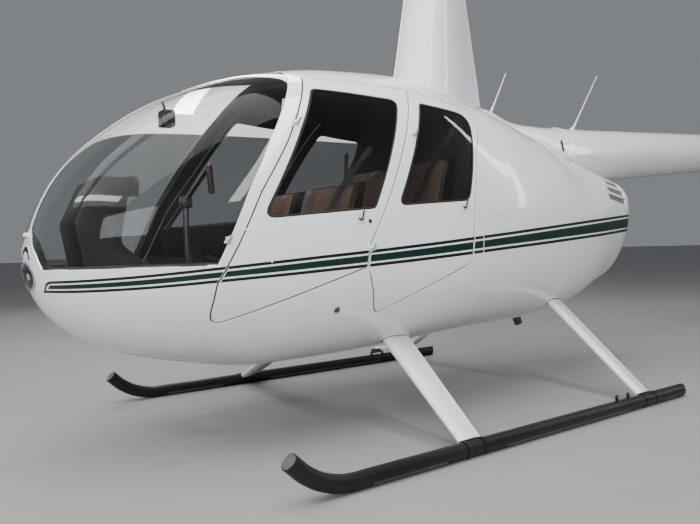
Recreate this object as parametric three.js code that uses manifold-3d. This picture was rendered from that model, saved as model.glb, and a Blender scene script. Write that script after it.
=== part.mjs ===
// Four-seat light helicopter on skids, with a two-blade main rotor on a tall faired mast.
// Millimetres, +Z up, nose towards -Y, port side +X, the skids' undersides at z = 0.
// Pieces are drawn with the main rotor's axis at x = 0, y = 0, and moved along Y as one at the end.
import * as THREE from 'three';
import { mergeVertices } from 'three/addons/utils/BufferGeometryUtils.js';
import Module from 'manifold-3d';

const wasm = await Module();
wasm.setup();

// Driving dimensions
const touchGap = 0.3;             // between pieces that rest on each other
const doorGap = 9;                // all round each door
const wall = 35;                  // doors and cabin walls, skin to trim
const glassThick = 6;
const noseToMast = 2337;
const hullLength = 4190;
const hullMiddle = 1110;          // height that the body's walls are measured in from
const hullHalfWide = 640;
const hullHalfTall = 765;
const mainRadius = 5029;
const mainChord = 254;
const rotorPlane = 3190;          // height of the teeter bolt
const tailRadius = 737;
const tailChord = 130;
const tailRotorAft = 5893;        // main axis to tail rotor axis
const tailRotorHigh = 1905;
const tailRotorSide = 285;        // port of the tail cone
const skidTrack = 2114;           // between the skid tubes' axes
const skidTube = 70;

// Cabin and engine body from the nose aft. aft: distance behind the nose; top, bottom; wide: height of the
// widest line; half: half width there; over, under: roundness above and below it, 2 for an ellipse
const hullTable = [
  [0, 870, 870, 870, 0, 2.0, 2.0],
  [30, 1040, 730, 940, 215, 2.0, 2.0],
  [120, 1230, 605, 930, 370, 2.1, 2.1],
  [300, 1425, 490, 920, 480, 2.2, 2.2],
  [600, 1625, 400, 910, 570, 2.3, 2.3],
  [1000, 1775, 340, 910, 620, 2.4, 2.4],
  [1400, 1845, 345, 920, 640, 2.5, 2.4],
  [1900, 1875, 370, 940, 635, 2.5, 2.4],
  [2400, 1795, 395, 980, 595, 2.4, 2.4],
  [2900, 1670, 405, 1030, 530, 2.33, 2.3],
  [3400, 1575, 465, 1080, 455, 1.7, 2.2],
  [3800, 1452, 588, 1120, 360, 2.0, 2.1],
  [4020, 1378, 654, 1150, 300, 2.5, 1.9],
  [4140, 1362, 950, 1150, 190, 2.1, 1.8],
  [4190, 1170, 1170, 1170, 0, 2.0, 2.0],
];
const hullRings = 22;
const hullPoints = 28;

// Outlines seen from the side, as y, z and the radius that rounds the corner there
const frontDoorOutline = [
  [-1752, 583, 80], [-1018, 812, 12], [-1003, 916, 40], [-909, 1078, 60], [-575, 1722, 20],
  [-1163, 1730, 30], [-1373, 1381, 200], [-1530, 1150, 200], [-1638, 935, 150], [-1730, 767, 60],
];
const rearDoorOutline = [
  [-1010, 812, 0], [-935, 583, 45], [-318, 812, 60], [-282, 1141, 300], [-208, 1414, 200],
  [-50, 1660, 30], [-359, 1691, 200], [-568, 1720, 20], [-902, 1078, 60], [-996, 916, 40],
];
const frontWindowOutline = [[-1525, 1040, 30], [-962, 1090, 25], [-690, 1642, 30], [-1160, 1657, 40]];
const rearWindowOutline = [[-814, 1106, 25], [-330, 1142, 55], [-180, 1616, 70], [-537, 1643, 30]];
const windshieldOutline = [
  [-2400, 845, 0], [-1728, 845, 15], [-1667, 970, 200], [-1580, 1155, 300], [-1455, 1375, 300],
  [-1265, 1670, 100], [-1190, 1800, 0], [-1190, 2000, 0], [-2400, 2000, 0],
];
// Door hinge lines as two points each; knuckles: their heights, and how far aft of the pin
// each strap's foot is
const doorHinges = {
  front: { low: [590, -1717, 900], high: [570, -1301, 1500], knuckles: [[950, 76], [1465, 20]] },
  rear: { low: [665, -1022, 860], high: [598, -649, 1500], knuckles: [[905, 20], [1465, 4]] },
};
const knuckleRadius = 7;
const knuckleHalf = 20;
// Nose strip between the windshield halves, seen from ahead, as x and z
const noseStripOutline = [[-190, 800], [190, 800], [190, 840], [140, 918], [78, 970], [22, 1020], [22, 2000],
  [-22, 2000], [-22, 1020], [-78, 970], [-140, 918], [-190, 840]];
const cabinBack = [[-230, 200], [-230, 1100], [20, 1720], [20, 2100]];

// Solids, joins and cuts

function toSolid(geometry) {
  const bare = geometry.index ? geometry.toNonIndexed() : geometry.clone();
  bare.deleteAttribute('normal');
  bare.deleteAttribute('uv');
  const merged = mergeVertices(bare, 1e-4);
  return new wasm.Manifold(new wasm.Mesh({
    numProp: 3,
    vertProperties: new Float32Array(merged.attributes.position.array),
    triVerts: new Uint32Array(merged.index.array),
  }));
}

function toGeometry(solid) {
  const mesh = solid.getMesh();
  const geometry = new THREE.BufferGeometry();
  geometry.setAttribute('position', new THREE.BufferAttribute(new Float32Array(mesh.vertProperties), 3));
  geometry.setIndex(new THREE.BufferAttribute(new Uint32Array(mesh.triVerts), 1));
  return geometry;
}

function join(...solids) {
  return solids.reduce((whole, next) => whole.add(next));
}

function placed(geometry, position, turn = [0, 0, 0]) {
  const matrix = new THREE.Matrix4().makeRotationFromEuler(new THREE.Euler(...turn));
  matrix.setPosition(new THREE.Vector3(...position));
  return toSolid(geometry.applyMatrix4(matrix));
}

function upright(topRadius, footRadius, tall, sides, position) {
  const geometry = new THREE.CylinderGeometry(topRadius, footRadius, tall, sides);
  return placed(geometry, position, [Math.PI / 2, 0, 0]);
}

// A closed skin over rings of points, each ring with the same count or a single point at a tip
function loft(rings) {
  const positions = [];
  const triangles = [];
  const starts = [];
  for (const ring of rings) {
    starts.push(positions.length / 3);
    ring.forEach((point) => positions.push(...point));
  }
  for (let i = 0; i + 1 < rings.length; i += 1) {
    const [a, b] = [rings[i], rings[i + 1]];
    const count = Math.max(a.length, b.length);
    for (let k = 0; k < count; k += 1) {
      const next = (k + 1) % count;
      const a0 = starts[i] + (a.length === 1 ? 0 : k);
      const a1 = starts[i] + (a.length === 1 ? 0 : next);
      const b0 = starts[i + 1] + (b.length === 1 ? 0 : k);
      const b1 = starts[i + 1] + (b.length === 1 ? 0 : next);
      if (a.length > 1) triangles.push(a0, a1, b0);
      if (b.length > 1) triangles.push(a1, b1, b0);
    }
  }
  [0, rings.length - 1].forEach((end) => {
    const ring = rings[end];
    if (ring.length === 1) return;
    for (let k = 1; k + 1 < ring.length; k += 1) {
      const fan = [starts[end], starts[end] + k, starts[end] + k + 1];
      triangles.push(...(end === 0 ? fan.reverse() : fan));
    }
  });
  if (signedVolume(positions, triangles) < 0) triangles.reverse();
  const geometry = new THREE.BufferGeometry();
  geometry.setAttribute('position', new THREE.Float32BufferAttribute(positions, 3));
  geometry.setIndex(triangles);
  return toSolid(geometry);
}

function signedVolume(positions, triangles) {
  const corner = (i) => new THREE.Vector3().fromArray(positions, 3 * triangles[i]);
  let total = 0;
  for (let i = 0; i < triangles.length; i += 3) {
    total += corner(i).dot(corner(i + 1).cross(corner(i + 2)));
  }
  return total;
}

// Corners of an outline replaced by short curves
function rounded(outline, steps = 4) {
  const count = outline.length;
  return outline.flatMap(([a, b, radius = 0], i) => {
    const here = new THREE.Vector2(a, b);
    if (radius === 0) return [here];
    const before = new THREE.Vector2(...outline[(i + count - 1) % count]).sub(here);
    const after = new THREE.Vector2(...outline[(i + 1) % count]).sub(here);
    const half = before.angleTo(after) / 2;
    const reach = Math.min(radius / Math.tan(half), 0.48 * before.length(), 0.48 * after.length());
    const curve = new THREE.QuadraticBezierCurve(
      before.setLength(reach).add(here), here, after.setLength(reach).add(here));
    return curve.getPoints(radius > 90 ? 2 : steps);
  });
}

// An outline's rows moved inwards by the same distance all round, each corner keeping its radius
function inset(outline, distance) {
  const corners = outline.map(([a, b]) => new THREE.Vector2(a, b));
  const turn = THREE.ShapeUtils.area(corners) > 0 ? 1 : -1;
  const count = corners.length;
  const inward = (from, to) => new THREE.Vector2(from.y - to.y, to.x - from.x).normalize()
    .multiplyScalar(turn);
  return corners.map((corner, i) => {
    const n0 = inward(corners[(i + count - 1) % count], corner);
    const n1 = inward(corner, corners[(i + 1) % count]);
    const moved = n0.clone().add(n1).multiplyScalar(distance / (1 + n0.dot(n1))).add(corner);
    return [moved.x, moved.y, outline[i][2]];
  });
}

const axisX = new THREE.Vector3(1, 0, 0);
const axisY = new THREE.Vector3(0, 1, 0);
const axisZ = new THREE.Vector3(0, 0, 1);

// An outline in y, z pushed along X
function sidePrism(points, fromX, toX) {
  const settings = { depth: toX - fromX, bevelEnabled: false };
  const geometry = new THREE.ExtrudeGeometry(new THREE.Shape(points), settings);
  geometry.applyMatrix4(new THREE.Matrix4().makeBasis(axisY, axisZ, axisX));
  return toSolid(geometry.translate(fromX, 0, 0));
}

// An outline in x, z pushed along Y
function frontPrism(points, fromY, toY) {
  const settings = { depth: toY - fromY, bevelEnabled: false };
  const geometry = new THREE.ExtrudeGeometry(new THREE.Shape(points), settings);
  geometry.applyMatrix4(new THREE.Matrix4().makeBasis(axisX.clone().negate(), axisZ, axisY));
  return toSolid(geometry.translate(0, fromY, 0));
}

function box(low, high) {
  const [x0, y0, z0] = low;
  const [x1, y1, z1] = high;
  const geometry = new THREE.BoxGeometry(x1 - x0, y1 - y0, z1 - z0);
  return toSolid(geometry.translate((x0 + x1) / 2, (y0 + y1) / 2, (z0 + z1) / 2));
}

// A straight round bar between two points, its ends square to it
function bar(from, to, radius, sides = 12, endRadius = radius) {
  const start = new THREE.Vector3(...from);
  const along = new THREE.Vector3(...to).sub(start);
  const geometry = new THREE.CylinderGeometry(endRadius, radius, along.length(), sides);
  geometry.translate(0, along.length() / 2, 0);
  geometry.applyQuaternion(new THREE.Quaternion().setFromUnitVectors(axisY, along.clone().normalize()));
  return toSolid(geometry.translate(...from));
}

// A round tube bent along a smooth curve through the points
function bentTube(points, radius, steps, sides = 10) {
  const places = points.map((point) => new THREE.Vector3(...point));
  const curve = new THREE.CatmullRomCurve3(places, false, 'centripetal');
  const circle = new THREE.Shape();
  circle.absarc(0, 0, radius, 0, 2 * Math.PI, false);
  return toSolid(new THREE.ExtrudeGeometry(circle, { steps, curveSegments: sides / 2, extrudePath: curve }));
}

function mirrored(solid) {
  const geometry = toGeometry(solid);
  geometry.scale(-1, 1, 1);
  geometry.index.array.reverse();
  return toSolid(geometry);
}

// Body shape

// Smooth curve through a column of the table with no overshoot between its rows
function monotone(xs, ys) {
  const width = xs.slice(1).map((x, i) => x - xs[i]);
  const slope = width.map((w, i) => (ys[i + 1] - ys[i]) / w);
  const last = slope.length - 1;
  const endTangent = (w0, w1, s0, s1) => {
    const raw = ((2 * w0 + w1) * s0 - w0 * s1) / (w0 + w1);
    if (raw * s0 <= 0) return 0;
    return s0 * s1 < 0 && Math.abs(raw) > 3 * Math.abs(s0) ? 3 * s0 : raw;
  };
  const tangent = ys.map((_, i) => {
    if (i === 0) return endTangent(width[0], width[1], slope[0], slope[1]);
    if (i > last) return endTangent(width[last], width[last - 1], slope[last], slope[last - 1]);
    if (slope[i - 1] * slope[i] <= 0) return 0;
    const w0 = 2 * width[i] + width[i - 1];
    const w1 = width[i] + 2 * width[i - 1];
    return (w0 + w1) / (w0 / slope[i - 1] + w1 / slope[i]);
  });
  return (x) => {
    const i = Math.min(last, Math.max(0, xs.findLastIndex((value) => value <= x)));
    const t = (x - xs[i]) / width[i];
    const lead = ys[i] * (1 + 2 * t) * (1 - t) ** 2 + ys[i + 1] * t * t * (3 - 2 * t);
    return lead + width[i] * (tangent[i] * t * (1 - t) ** 2 - tangent[i + 1] * t * t * (1 - t));
  };
}

// Distance aft as an angle, which rounds the nose and the cowl's end
const aftAngle = (aft) => Math.acos(1 - 2 * aft / hullLength);
const hullColumns = [1, 2, 3, 4, 5, 6].map((column) => monotone(
  hullTable.map((row) => aftAngle(row[0])), hullTable.map((row) => row[column])));

function hullRing(angle) {
  const [top, bottom, wide, half, over, under] = hullColumns.map((column) => column(angle));
  const aft = hullLength * (1 - Math.cos(angle)) / 2;
  return Array.from({ length: hullPoints }, (_, k) => {
    const around = 2 * Math.PI * (k + 0.5) / hullPoints;
    const [c, s] = [Math.cos(around), Math.sin(around)];
    const power = 2 / (s > 0 ? over : under);
    const tall = s > 0 ? top - wide : wide - bottom;
    const across = half * Math.sign(c) * Math.abs(c) ** power;
    return [across, aft - noseToMast, wide + tall * Math.sign(s) * Math.abs(s) ** power];
  });
}

const hullEnds = [[0, -noseToMast, hullTable[0][1]], [0, hullLength - noseToMast, hullTable.at(-1)[1]]];

// The whole body as one solid, its skin moved in by inset
function hullSolid(inset) {
  const middle = [0, hullLength / 2 - noseToMast, hullMiddle];
  const reach = [hullHalfWide, hullLength / 2, hullHalfTall];
  const moved = (point) => point.map((value, i) => middle[i] + (value - middle[i]) * (1 - inset / reach[i]));
  const rings = [[moved(hullEnds[0])]];
  for (let i = 1; i < hullRings; i += 1) rings.push(hullRing(Math.PI * i / hullRings).map(moved));
  rings.push([moved(hullEnds[1])]);
  return loft(rings);
}

const outerHull = hullSolid(0);
const innerHull = hullSolid(wall);
const hullShell = outerHull.subtract(innerHull);
const cabinAir = hullSolid(wall + touchGap);

// An outline's prism through the port wall, moved inwards by a distance all round
const portHole = (outline, distance = 0) => sidePrism(rounded(inset(outline, distance)), 150, 900);

const cabinBackPoints = cabinBack.map((point) => new THREE.Vector2(...point));
const backOf = (gap) => sidePrism([...cabinBackPoints.map((p) => new THREE.Vector2(p.x + gap, p.y)),
  new THREE.Vector2(2500, 2100), new THREE.Vector2(2500, 200)], -900, 900);
const noseStrip = frontPrism(noseStripOutline.map((point) => new THREE.Vector2(...point)), -2500, -900);

// Both sides' door openings, cut through the wall
const doorHoles = [portHole(frontDoorOutline), portHole(rearDoorOutline)];
const allDoorHoles = join(...doorHoles, ...doorHoles.map(mirrored));

// Cabin: lower tub, frame with posts and roof, floor and firewall

const sillHigh = 840;
const tubHalf = box([-900, -2500, 200], [900, 0, sillHigh]).subtract(backOf(-touchGap));
const frameHalf = box([-900, -2500, sillHigh + touchGap], [900, 0, 2100]).subtract(backOf(-touchGap));

function lowerTub() {
  return hullShell.intersect(tubHalf).subtract(join(allDoorHoles, gearLegs(legTable[0], 2)));
}

function cabinFrame() {
  const glass = sidePrism(rounded(windshieldOutline), -900, 900).subtract(noseStrip);
  const shell = hullShell.intersect(frameHalf).subtract(join(allDoorHoles, glass, strapNotches()));
  const posts = [-1, 1].map((side) => doorPost(side));
  return join(shell, ...posts);
}

// Post behind the seam between the doors, from the floor into the roof
function doorPost(side) {
  const seam = [[-1000, floorTop + touchGap], [-1000, 916], [-909, 1078], [-540, 1790]];
  const strip = [...seam.map(([y, z]) => [y - 28, z]), ...seam.reverse().map(([y, z]) => [y + 28, z])];
  const prism = sidePrism(strip.map((point) => new THREE.Vector2(...point)), 250, 900);
  const behindDoors = hullSolid(wall + 8).subtract(hullSolid(wall + 40));
  const underRoof = hullSolid(5).subtract(hullSolid(wall + 40))
    .intersect(box([0, -800, 1738], [900, -400, 1900]));
  const post = join(behindDoors, underRoof).intersect(prism);
  return side > 0 ? post : mirrored(post);
}

const floorTop = 520;
const floorThick = 20;
const seatBoxes = [
  { front: -1500, back: -1060, top: 715 },
  { front: -800, back: -440, top: 760 },
];
const seatHalfWide = 520;

function cabinFloor() {
  const plate = box([-600, -2150, floorTop - floorThick], [600, -245, floorTop]);
  const boxes = seatBoxes.map(({ front, back, top }) => box(
    [-seatHalfWide, front, floorTop - 1], [seatHalfWide, back, top]));
  const hollows = seatBoxes.map(({ front, back, top }) => join(
    box([-seatHalfWide + 20, front + 20, floorTop], [-40, back + 20, top - 20]),
    box([40, front + 20, floorTop], [seatHalfWide - 20, back + 20, top - 20])));
  return join(plate, ...boxes).subtract(join(...hollows)).intersect(hullSolid(wall + 2));
}

function firewall() {
  return cabinAir.intersect(box([-700, -240, 400], [700, -220, 1900]));
}

// Windshield halves and door panes

function windshield(side) {
  const skin = hullSolid(0).subtract(hullSolid(glassThick));
  const cut = sidePrism(rounded(inset(windshieldOutline, touchGap)), 0, 900).subtract(
    frontPrism(noseStripOutline.map(([x, z]) => new THREE.Vector2(
      x + Math.sign(x) * touchGap, z + touchGap)), -2500, -900));
  const half = skin.intersect(cut);
  return side > 0 ? half : mirrored(half);
}

function doorPane(outline, side) {
  const skin = hullSolid(4).subtract(hullSolid(4 + glassThick));
  const pane = skin.intersect(portHole(outline, touchGap));
  return side > 0 ? pane : mirrored(pane);
}

// Doors with their hinge knuckles

function strapNotches() {
  const notches = Object.values(doorHinges).flatMap((hinge) => hinge.knuckles.map(([z, foot]) => {
    const [x, y] = onLine(hinge, z);
    const reach = knuckleRadius + 6;
    return box([x - reach, y - reach - 10, z - knuckleHalf - 6], [x + 40, y + foot, z + knuckleHalf + 6]);
  }));
  return join(...notches, ...notches.map(mirrored));
}

const footLong = 26;
const doorSkin = 14;
const doorRebate = 16;

function onLine({ low, high }, z) {
  const t = (z - low[2]) / (high[2] - low[2]);
  return low.map((value, i) => value + t * (high[i] - value));
}

// A door: its skin, and behind that a pan set further in, which clears the frame as the door swings
function doorPanel(name, outline, windowOutline, side) {
  const hinge = doorHinges[name];
  const rounder = outline.map(([y, z, radius]) => [y, z, 1.4 * radius]);
  const skin = outerHull.subtract(hullSolid(doorSkin)).intersect(portHole(rounder, doorGap));
  const pan = hullSolid(doorSkin - 0.1).subtract(innerHull)
    .intersect(portHole(rounder, doorGap + doorRebate));
  const knuckles = hinge.knuckles.map(([z, foot]) => {
    const barrel = bar(onLine(hinge, z - knuckleHalf), onLine(hinge, z + knuckleHalf), knuckleRadius, 10);
    const [x, y] = onLine(hinge, z);
    const strap = box([x - 5, y, z - 12], [x + 3, y + foot + footLong, z + 12]);
    const pad = box([x - 50, y + foot, z - 12], [x + 3, y + foot + footLong, z + 12]);
    return join(barrel, strap, pad).subtract(innerHull);
  });
  const door = join(skin, pan, ...knuckles).subtract(portHole(windowOutline));
  return side > 0 ? door : mirrored(door);
}

// Aft body, engine and mast fairing

function aftBody() {
  const louvres = [];
  for (let i = 0; i < 3; i += 1) {
    const [front, z] = [1350 + 32 * i, 1210 + 56 * i];
    const slot = [[front, z], [1600, z - 40], [1600, z - 4], [front, z + 36]];
    louvres.push(sidePrism(slot.map((point) => new THREE.Vector2(...point)), 150, 600));
  }
  const cuts = join(...louvres, ...louvres.map(mirrored), bar(...exhaustPath, 34, 12),
    gearLegs(legTable[1], 2));
  return hullShell.intersect(backOf(0)).subtract(cuts);
}

const engineLow = [-330, 150, 640];
const engineHigh = [330, 850, 1000];
const exhaustPath = [[-150, 790, 660], [-150, 960, 330]];

function exhaust() {
  const [start, end] = exhaustPath;
  const below = box([-300, 600, 200], [0, 1200, engineLow[2] - touchGap]);
  const bore = bar(start, [end[0], end[1] + 10, end[2] - 20], 26, 12);
  return bar(start, end, 30, 12).subtract(bore).intersect(below);
}

function engineBlock() {
  return box(engineLow, engineHigh);
}

// Mast fairing sections: height, leading edge, trailing edge, half thickness
const fairingTable = [
  [1580, -290, 470, 190],
  [1880, -242, 429, 172],
  [2150, -195, 382, 155],
  [2500, -134, 320, 135],
  [2850, -98, 250, 112],
  [2960, -92, 228, 100],
];

// Half thickness along the chord, round ahead and drawn out behind, 1 at the thickest
const wingShape = (t) => 2.6 * (Math.sqrt(t) - t) * (1 - 0.25 * t) / 0.585;

function airfoil(front, back, half, place, points = 12) {
  const ring = [];
  for (let i = 0; i < points; i += 1) {
    const t = (1 - Math.cos(Math.PI * i / points)) / 2;
    ring.push(place(front + t * (back - front), half * wingShape(t)));
  }
  for (let i = points; i > 0; i -= 1) {
    const t = (1 - Math.cos(Math.PI * i / points)) / 2;
    ring.push(place(front + t * (back - front), -half * wingShape(t)));
  }
  return ring;
}

function mastFairing() {
  const solid = loft(fairingTable.map(([z, front, back, half]) => airfoil(
    front, back, half, (y, x) => [x, y, z])));
  return solid.subtract(hullSolid(-touchGap)).subtract(cowlSpine(touchGap));
}

// Upper cowl: a ridge from the mast fairing's tail to a sleeve over the tail cone's front
// y, radius, height of the axis
const spineTable = [[20, 60, 1728], [160, 95, 1703], [300, 120, 1690], [440, 130, 1676], [520, 135, 1649],
  [600, 145, 1612], [740, 185, 1548], [900, 218, 1513], [1180, 212, 1534.8]];

const cowlSpine = (grow) => loft(spineTable.map(([y, radius, high]) => Array.from({ length: 24 }, (_, k) => {
  const around = 2 * Math.PI * (k + 0.5) / 24;
  return [(radius + grow) * Math.cos(around), y, high + (radius + grow) * Math.sin(around)];
})));

function upperCowl() {
  const cone = loft(coneTable.map(([y, radius]) => circleAt(y, radius + touchGap)));
  return cowlSpine(0).subtract(cowlSpine(-6)).subtract(join(cone, hullSolid(-touchGap)));
}

// Main rotor

const fairingTop = fairingTable.at(-1)[0];

function swashplate() {
  const ring = upright(100, 110, 22, 28, [0, 0, fairingTop + 30]);
  const foot = upright(60, 72, 40, 24, [0, 0, fairingTop + 20 + touchGap]);
  const bore = upright(42, 42, 200, 24, [0, 0, fairingTop]);
  return join(ring, foot).subtract(bore);
}

function rotorMast() {
  const [shaftFoot, shaftTop] = [fairingTop + 1, rotorPlane - 62];
  const shaft = upright(34, 34, shaftTop - shaftFoot, 24, [0, 0, (shaftFoot + shaftTop) / 2]);
  const ring = upright(92, 104, 24, 28, [0, 0, fairingTop + 62]);
  const links = [-1, 1].map((side) => join(
    bar([side * 88, 0, fairingTop + 64], [side * 150, -side * 190, fairingTop + 64], 12, 8),
    bar([side * 150, -side * 190, fairingTop + 56], [side * 150, -side * 190, rotorPlane - 22], 9, 8)));
  return join(shaft, ring, ...links);
}

function rotorHub() {
  const block = box([-62, -130, rotorPlane - 60], [62, 130, rotorPlane + 55]);
  const arms = box([-48, -250, rotorPlane - 34], [48, 250, rotorPlane + 34]);
  const bolt = bar([-100, 0, rotorPlane], [100, 0, rotorPlane], 24, 16);
  const cap = bar([0, 0, rotorPlane + 40], [0, 0, rotorPlane + 87], 26, 16);
  return join(block, arms, bolt, cap);
}

// Blade stations from the root: radius, chord, half thickness
const bladeTable = [
  [252, 100, 30],
  [420, 110, 30],
  [620, 180, 20],
  [860, mainChord, 15],
  [mainRadius, mainChord, 15],
];

// A blade that reaches towards -Y or +Y, its leading edge where it meets the air
function mainBlade(way) {
  const rings = bladeTable.map(([radius, chord, half]) => airfoil(0.25 * chord, -0.75 * chord, half,
    (x, z) => [-way * x, way * radius, rotorPlane + z], 8));
  const horn = join(
    bar([-way * 15, way * 300, rotorPlane], [-way * 150, way * 190, rotorPlane - 5], 14, 8),
    bar([-way * 150, way * 190, rotorPlane - 21], [-way * 150, way * 190, rotorPlane + 12], 13, 8));
  return join(loft(rings), horn);
}

// Tail cone and tail surfaces

const coneSlope = 0.0778;
const coneHigh = (y) => 1443 + coneSlope * y;       // height of the tail cone's axis
// Tail cone stations: y, radius
const coneTable = [[900, 211], [1180, 206], [1500, 198], [2000, 190], [3400, 170], [5600, 116]];
const coneSkin = 8;
const coneSides = 24;

const circleAt = (y, radius, sides = coneSides) => Array.from({ length: sides }, (_, k) => {
  const around = 2 * Math.PI * (k + 0.5) / sides;
  return [radius * Math.cos(around), y, coneHigh(y) + radius * Math.sin(around)];
});

function tailCone() {
  const skin = loft(coneTable.map(([y, radius]) => circleAt(y, radius)));
  const bore = loft(coneTable.map(([y, radius], i) => circleAt(
    i === 0 ? y - 20 : y - (i === coneTable.length - 1 ? 16 : 0), radius - coneSkin)));
  return skin.subtract(bore).subtract(hullSolid(-touchGap));
}

function tailGearbox() {
  const coneEnd = coneTable.at(-1)[0] + touchGap;
  const neckTable = [[coneEnd, 92], [5640, 56], [5800, 52], [5840, 66]];     // y, radius
  const neck = loft(neckTable.map(([y, radius]) => circleAt(y, radius, 20)));
  const casing = bar([-75, tailRotorAft, tailRotorHigh], [110, tailRotorAft, tailRotorHigh], 72, 20);
  const nose = bar([100, tailRotorAft, tailRotorHigh], [190, tailRotorAft, tailRotorHigh], 50, 20, 34);
  return join(neck, casing, nose);
}

function tailRotorHub() {
  const shaft = bar([190 + 6, tailRotorAft, tailRotorHigh],
    [tailRotorSide + 45, tailRotorAft, tailRotorHigh], 20, 14);
  const yoke = box([tailRotorSide - 22, tailRotorAft - 35, tailRotorHigh - 115],
    [tailRotorSide + 22, tailRotorAft + 35, tailRotorHigh + 115]);
  return join(shaft, yoke);
}

// Tail blade stations: radius, chord, half thickness
const tailBladeTable = [[115 + touchGap, 60, 16], [190, 80, 14], [260, tailChord, 8],
  [tailRadius, tailChord, 8]];

function tailBlade(way) {
  const rings = tailBladeTable.map(([radius, chord, half]) => airfoil(-0.25 * chord, 0.75 * chord, half,
    (y, x) => [tailRotorSide + x, tailRotorAft + way * y, tailRotorHigh + way * radius], 7));
  return loft(rings);
}

// Fin stations: height, leading edge, trailing edge, half thickness
const upperFinTable = [[coneHigh(5400) + 60, 5170, 5550, 24], [2720, 5630, 5880, 14]];
const lowerFinTable = [[coneHigh(5400) - 60, 5200, 5550, 24], [1225, 5560, 5820, 14]];

function fin(table) {
  const rings = table.map(([z, front, back, half]) => airfoil(front, back, half, (y, x) => [x, y, z], 9));
  const inside = loft(coneTable.map(([y, radius]) => circleAt(y, radius + touchGap)));
  return loft(rings).subtract(inside);
}

function stabiliser() {
  const rings = [-60, -880].map((x) => airfoil(5180, 5540, 24, (y, z) => [x, y, coneHigh(5360) + z], 9));
  const inside = loft(coneTable.map(([y, radius]) => circleAt(y, radius + touchGap)));
  return loft(rings).subtract(inside);
}

// Guard tube below the tail rotor, its stay and the skid under the lower fin
const guardPath = [[70, 4900, 1715], [190, 5060, 1590],
  [tailRotorSide, 5330, 1290], [tailRotorSide, 5640, 1122],
  [tailRotorSide, 6000, 1098], [tailRotorSide, 6360, 1160], [tailRotorSide, 6610, 1330]];

function tailGuard() {
  const inside = loft(coneTable.map(([y, radius]) => circleAt(y, radius + touchGap)));
  const stay = bar([0, 5700, 1205], [tailRotorSide, 5700, 1113], 12, 8);
  const skid = bentTube([[0, 5560, 1212], [0, 5760, 1200], [0, 5900, 1150]], 12, 8, 8);
  return join(bentTube(guardPath, 14, 18, 8), stay, skid).subtract(inside);
}

// Landing gear

// Legs: y at the body, half distance there, height there, y at the skid, chord, thickness
const legTable = [
  { top: -680, half: 450, high: 400, foot: -796, chord: 166, thick: 54 },
  { top: 708, half: 400, high: 488, foot: 568, chord: 126, thick: 44 },
];
const skidHalf = skidTrack / 2;
const skidRadius = skidTube / 2;
const skidHigh = skidRadius - 1;     // the tubes' undersides are worn flat by this much
const crossRadius = 28;

function skid(side) {
  const x = side * skidHalf;
  const path = [[x, -1706, 165], [x, -1640, 105], [x, -1560, 60], [x, -1456, skidHigh + 1],
    [x, -1300, skidHigh], [x, -400, skidHigh], [x, 942, skidHigh]];
  const tube = bentTube(path, skidRadius, 26, 12);
  const flat = box([-1200, -1900, -50], [1200, 1200, 0]);
  return tube.subtract(flat);
}

// Cross tube in the belly with a faired leg down to each skid, all of it thicker by grow
function gearLegs({ top, half, high, foot, chord, thick }, grow = 0) {
  const crossHigh = high + 40;
  const cross = bar([-half, top, crossHigh], [half, top, crossHigh], crossRadius + grow, 12);
  const legs = [-1, 1].map((side) => {
    const ring = (x, y, z, share) => airfoil(-0.45 * chord * share - grow, 0.55 * chord * share + grow,
      0.5 * thick * share + grow, (a, b) => [side * (x + b), y + a, z + 0.35 * b], 7);
    return loft([
      ring(half - 30, top + 6, high + 50, 1), ring(half, top, high, 1),
      ring(skidHalf - 22, foot, 92, 0.86), ring(skidHalf - 6, foot, 62, 0.86)]);
  });
  const skids = join(...[-1, 1].map((side) => bar(
    [side * skidHalf, -1200, skidHigh], [side * skidHalf, 900, skidHigh], skidRadius + touchGap, 24)));
  return join(cross, ...legs).subtract(skids);
}

// Cabin furniture

// Seats: cushion front and back, height on its box, back rest foot and top as y and z, half width
const seatTable = [
  { name: 'front', front: -1510, back: -1075, top: 715, rest: [-1062, -965, 1240], inner: 50, outer: 510 },
  { name: 'rear', front: -815, back: -450, top: 760, rest: [-440, -345, 1400], inner: 20, outer: 490 },
];
const cushionThick = 100;

function seat({ front, back, top, rest, inner, outer }, side) {
  const [restFoot, restLean, restTop] = rest;
  const outline = [
    [front, top + touchGap, 30], [restFoot - 12, top + touchGap, 10], [restFoot + 20, top + 60, 20],
    [restLean + 60, restTop, 30], [restLean - 30, restTop, 30],
    [restFoot - 60, top + cushionThick + 20, 30], [back - 120, top + cushionThick - 10, 0],
    [front, top + cushionThick + 10, 35],
  ];
  const solid = sidePrism(rounded(outline), inner, outer).intersect(hullSolid(wall + 60));
  return side > 0 ? solid : mirrored(solid);
}

// Instrument console between the pilots' knees, from the floor up
function instrumentConsole() {
  const outline = [[-2080, floorTop + touchGap, 0], [-1700, floorTop + touchGap, 0], [-1760, 760, 60],
    [-1980, 950, 60], [-1925, 1240, 20], [-2080, 1240, 40], [-2175, 1040, 60]];
  return sidePrism(rounded(outline), -150, 150).intersect(hullSolid(wall + 25))
    .subtract(pedalShaftBar(pedalShaft.radius + touchGap));
}

// The cyclic's cross bar teeters on its stem and rests with the port grip up by this much
const cyclicTilt = 130;

function cyclic() {
  const foot = [0, -1580, floorTop + 4];
  const stem = bentTube([foot, [0, -1600, 700], [0, -1625, 920], [0, -1625, 1150]], 14, 10, 8);
  const gripTop = (side) => [side * 280, -1625, 1150 + side * cyclicTilt];
  const grips = [-1, 1].map((side) => {
    const [x, y, z] = gripTop(side);
    return bar([x, y, z + 8], [x + side * 12, y + 6, z - 118], 15, 10);
  });
  return join(stem, bar(gripTop(-1), gripTop(1), 11, 8), ...grips);
}

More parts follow.
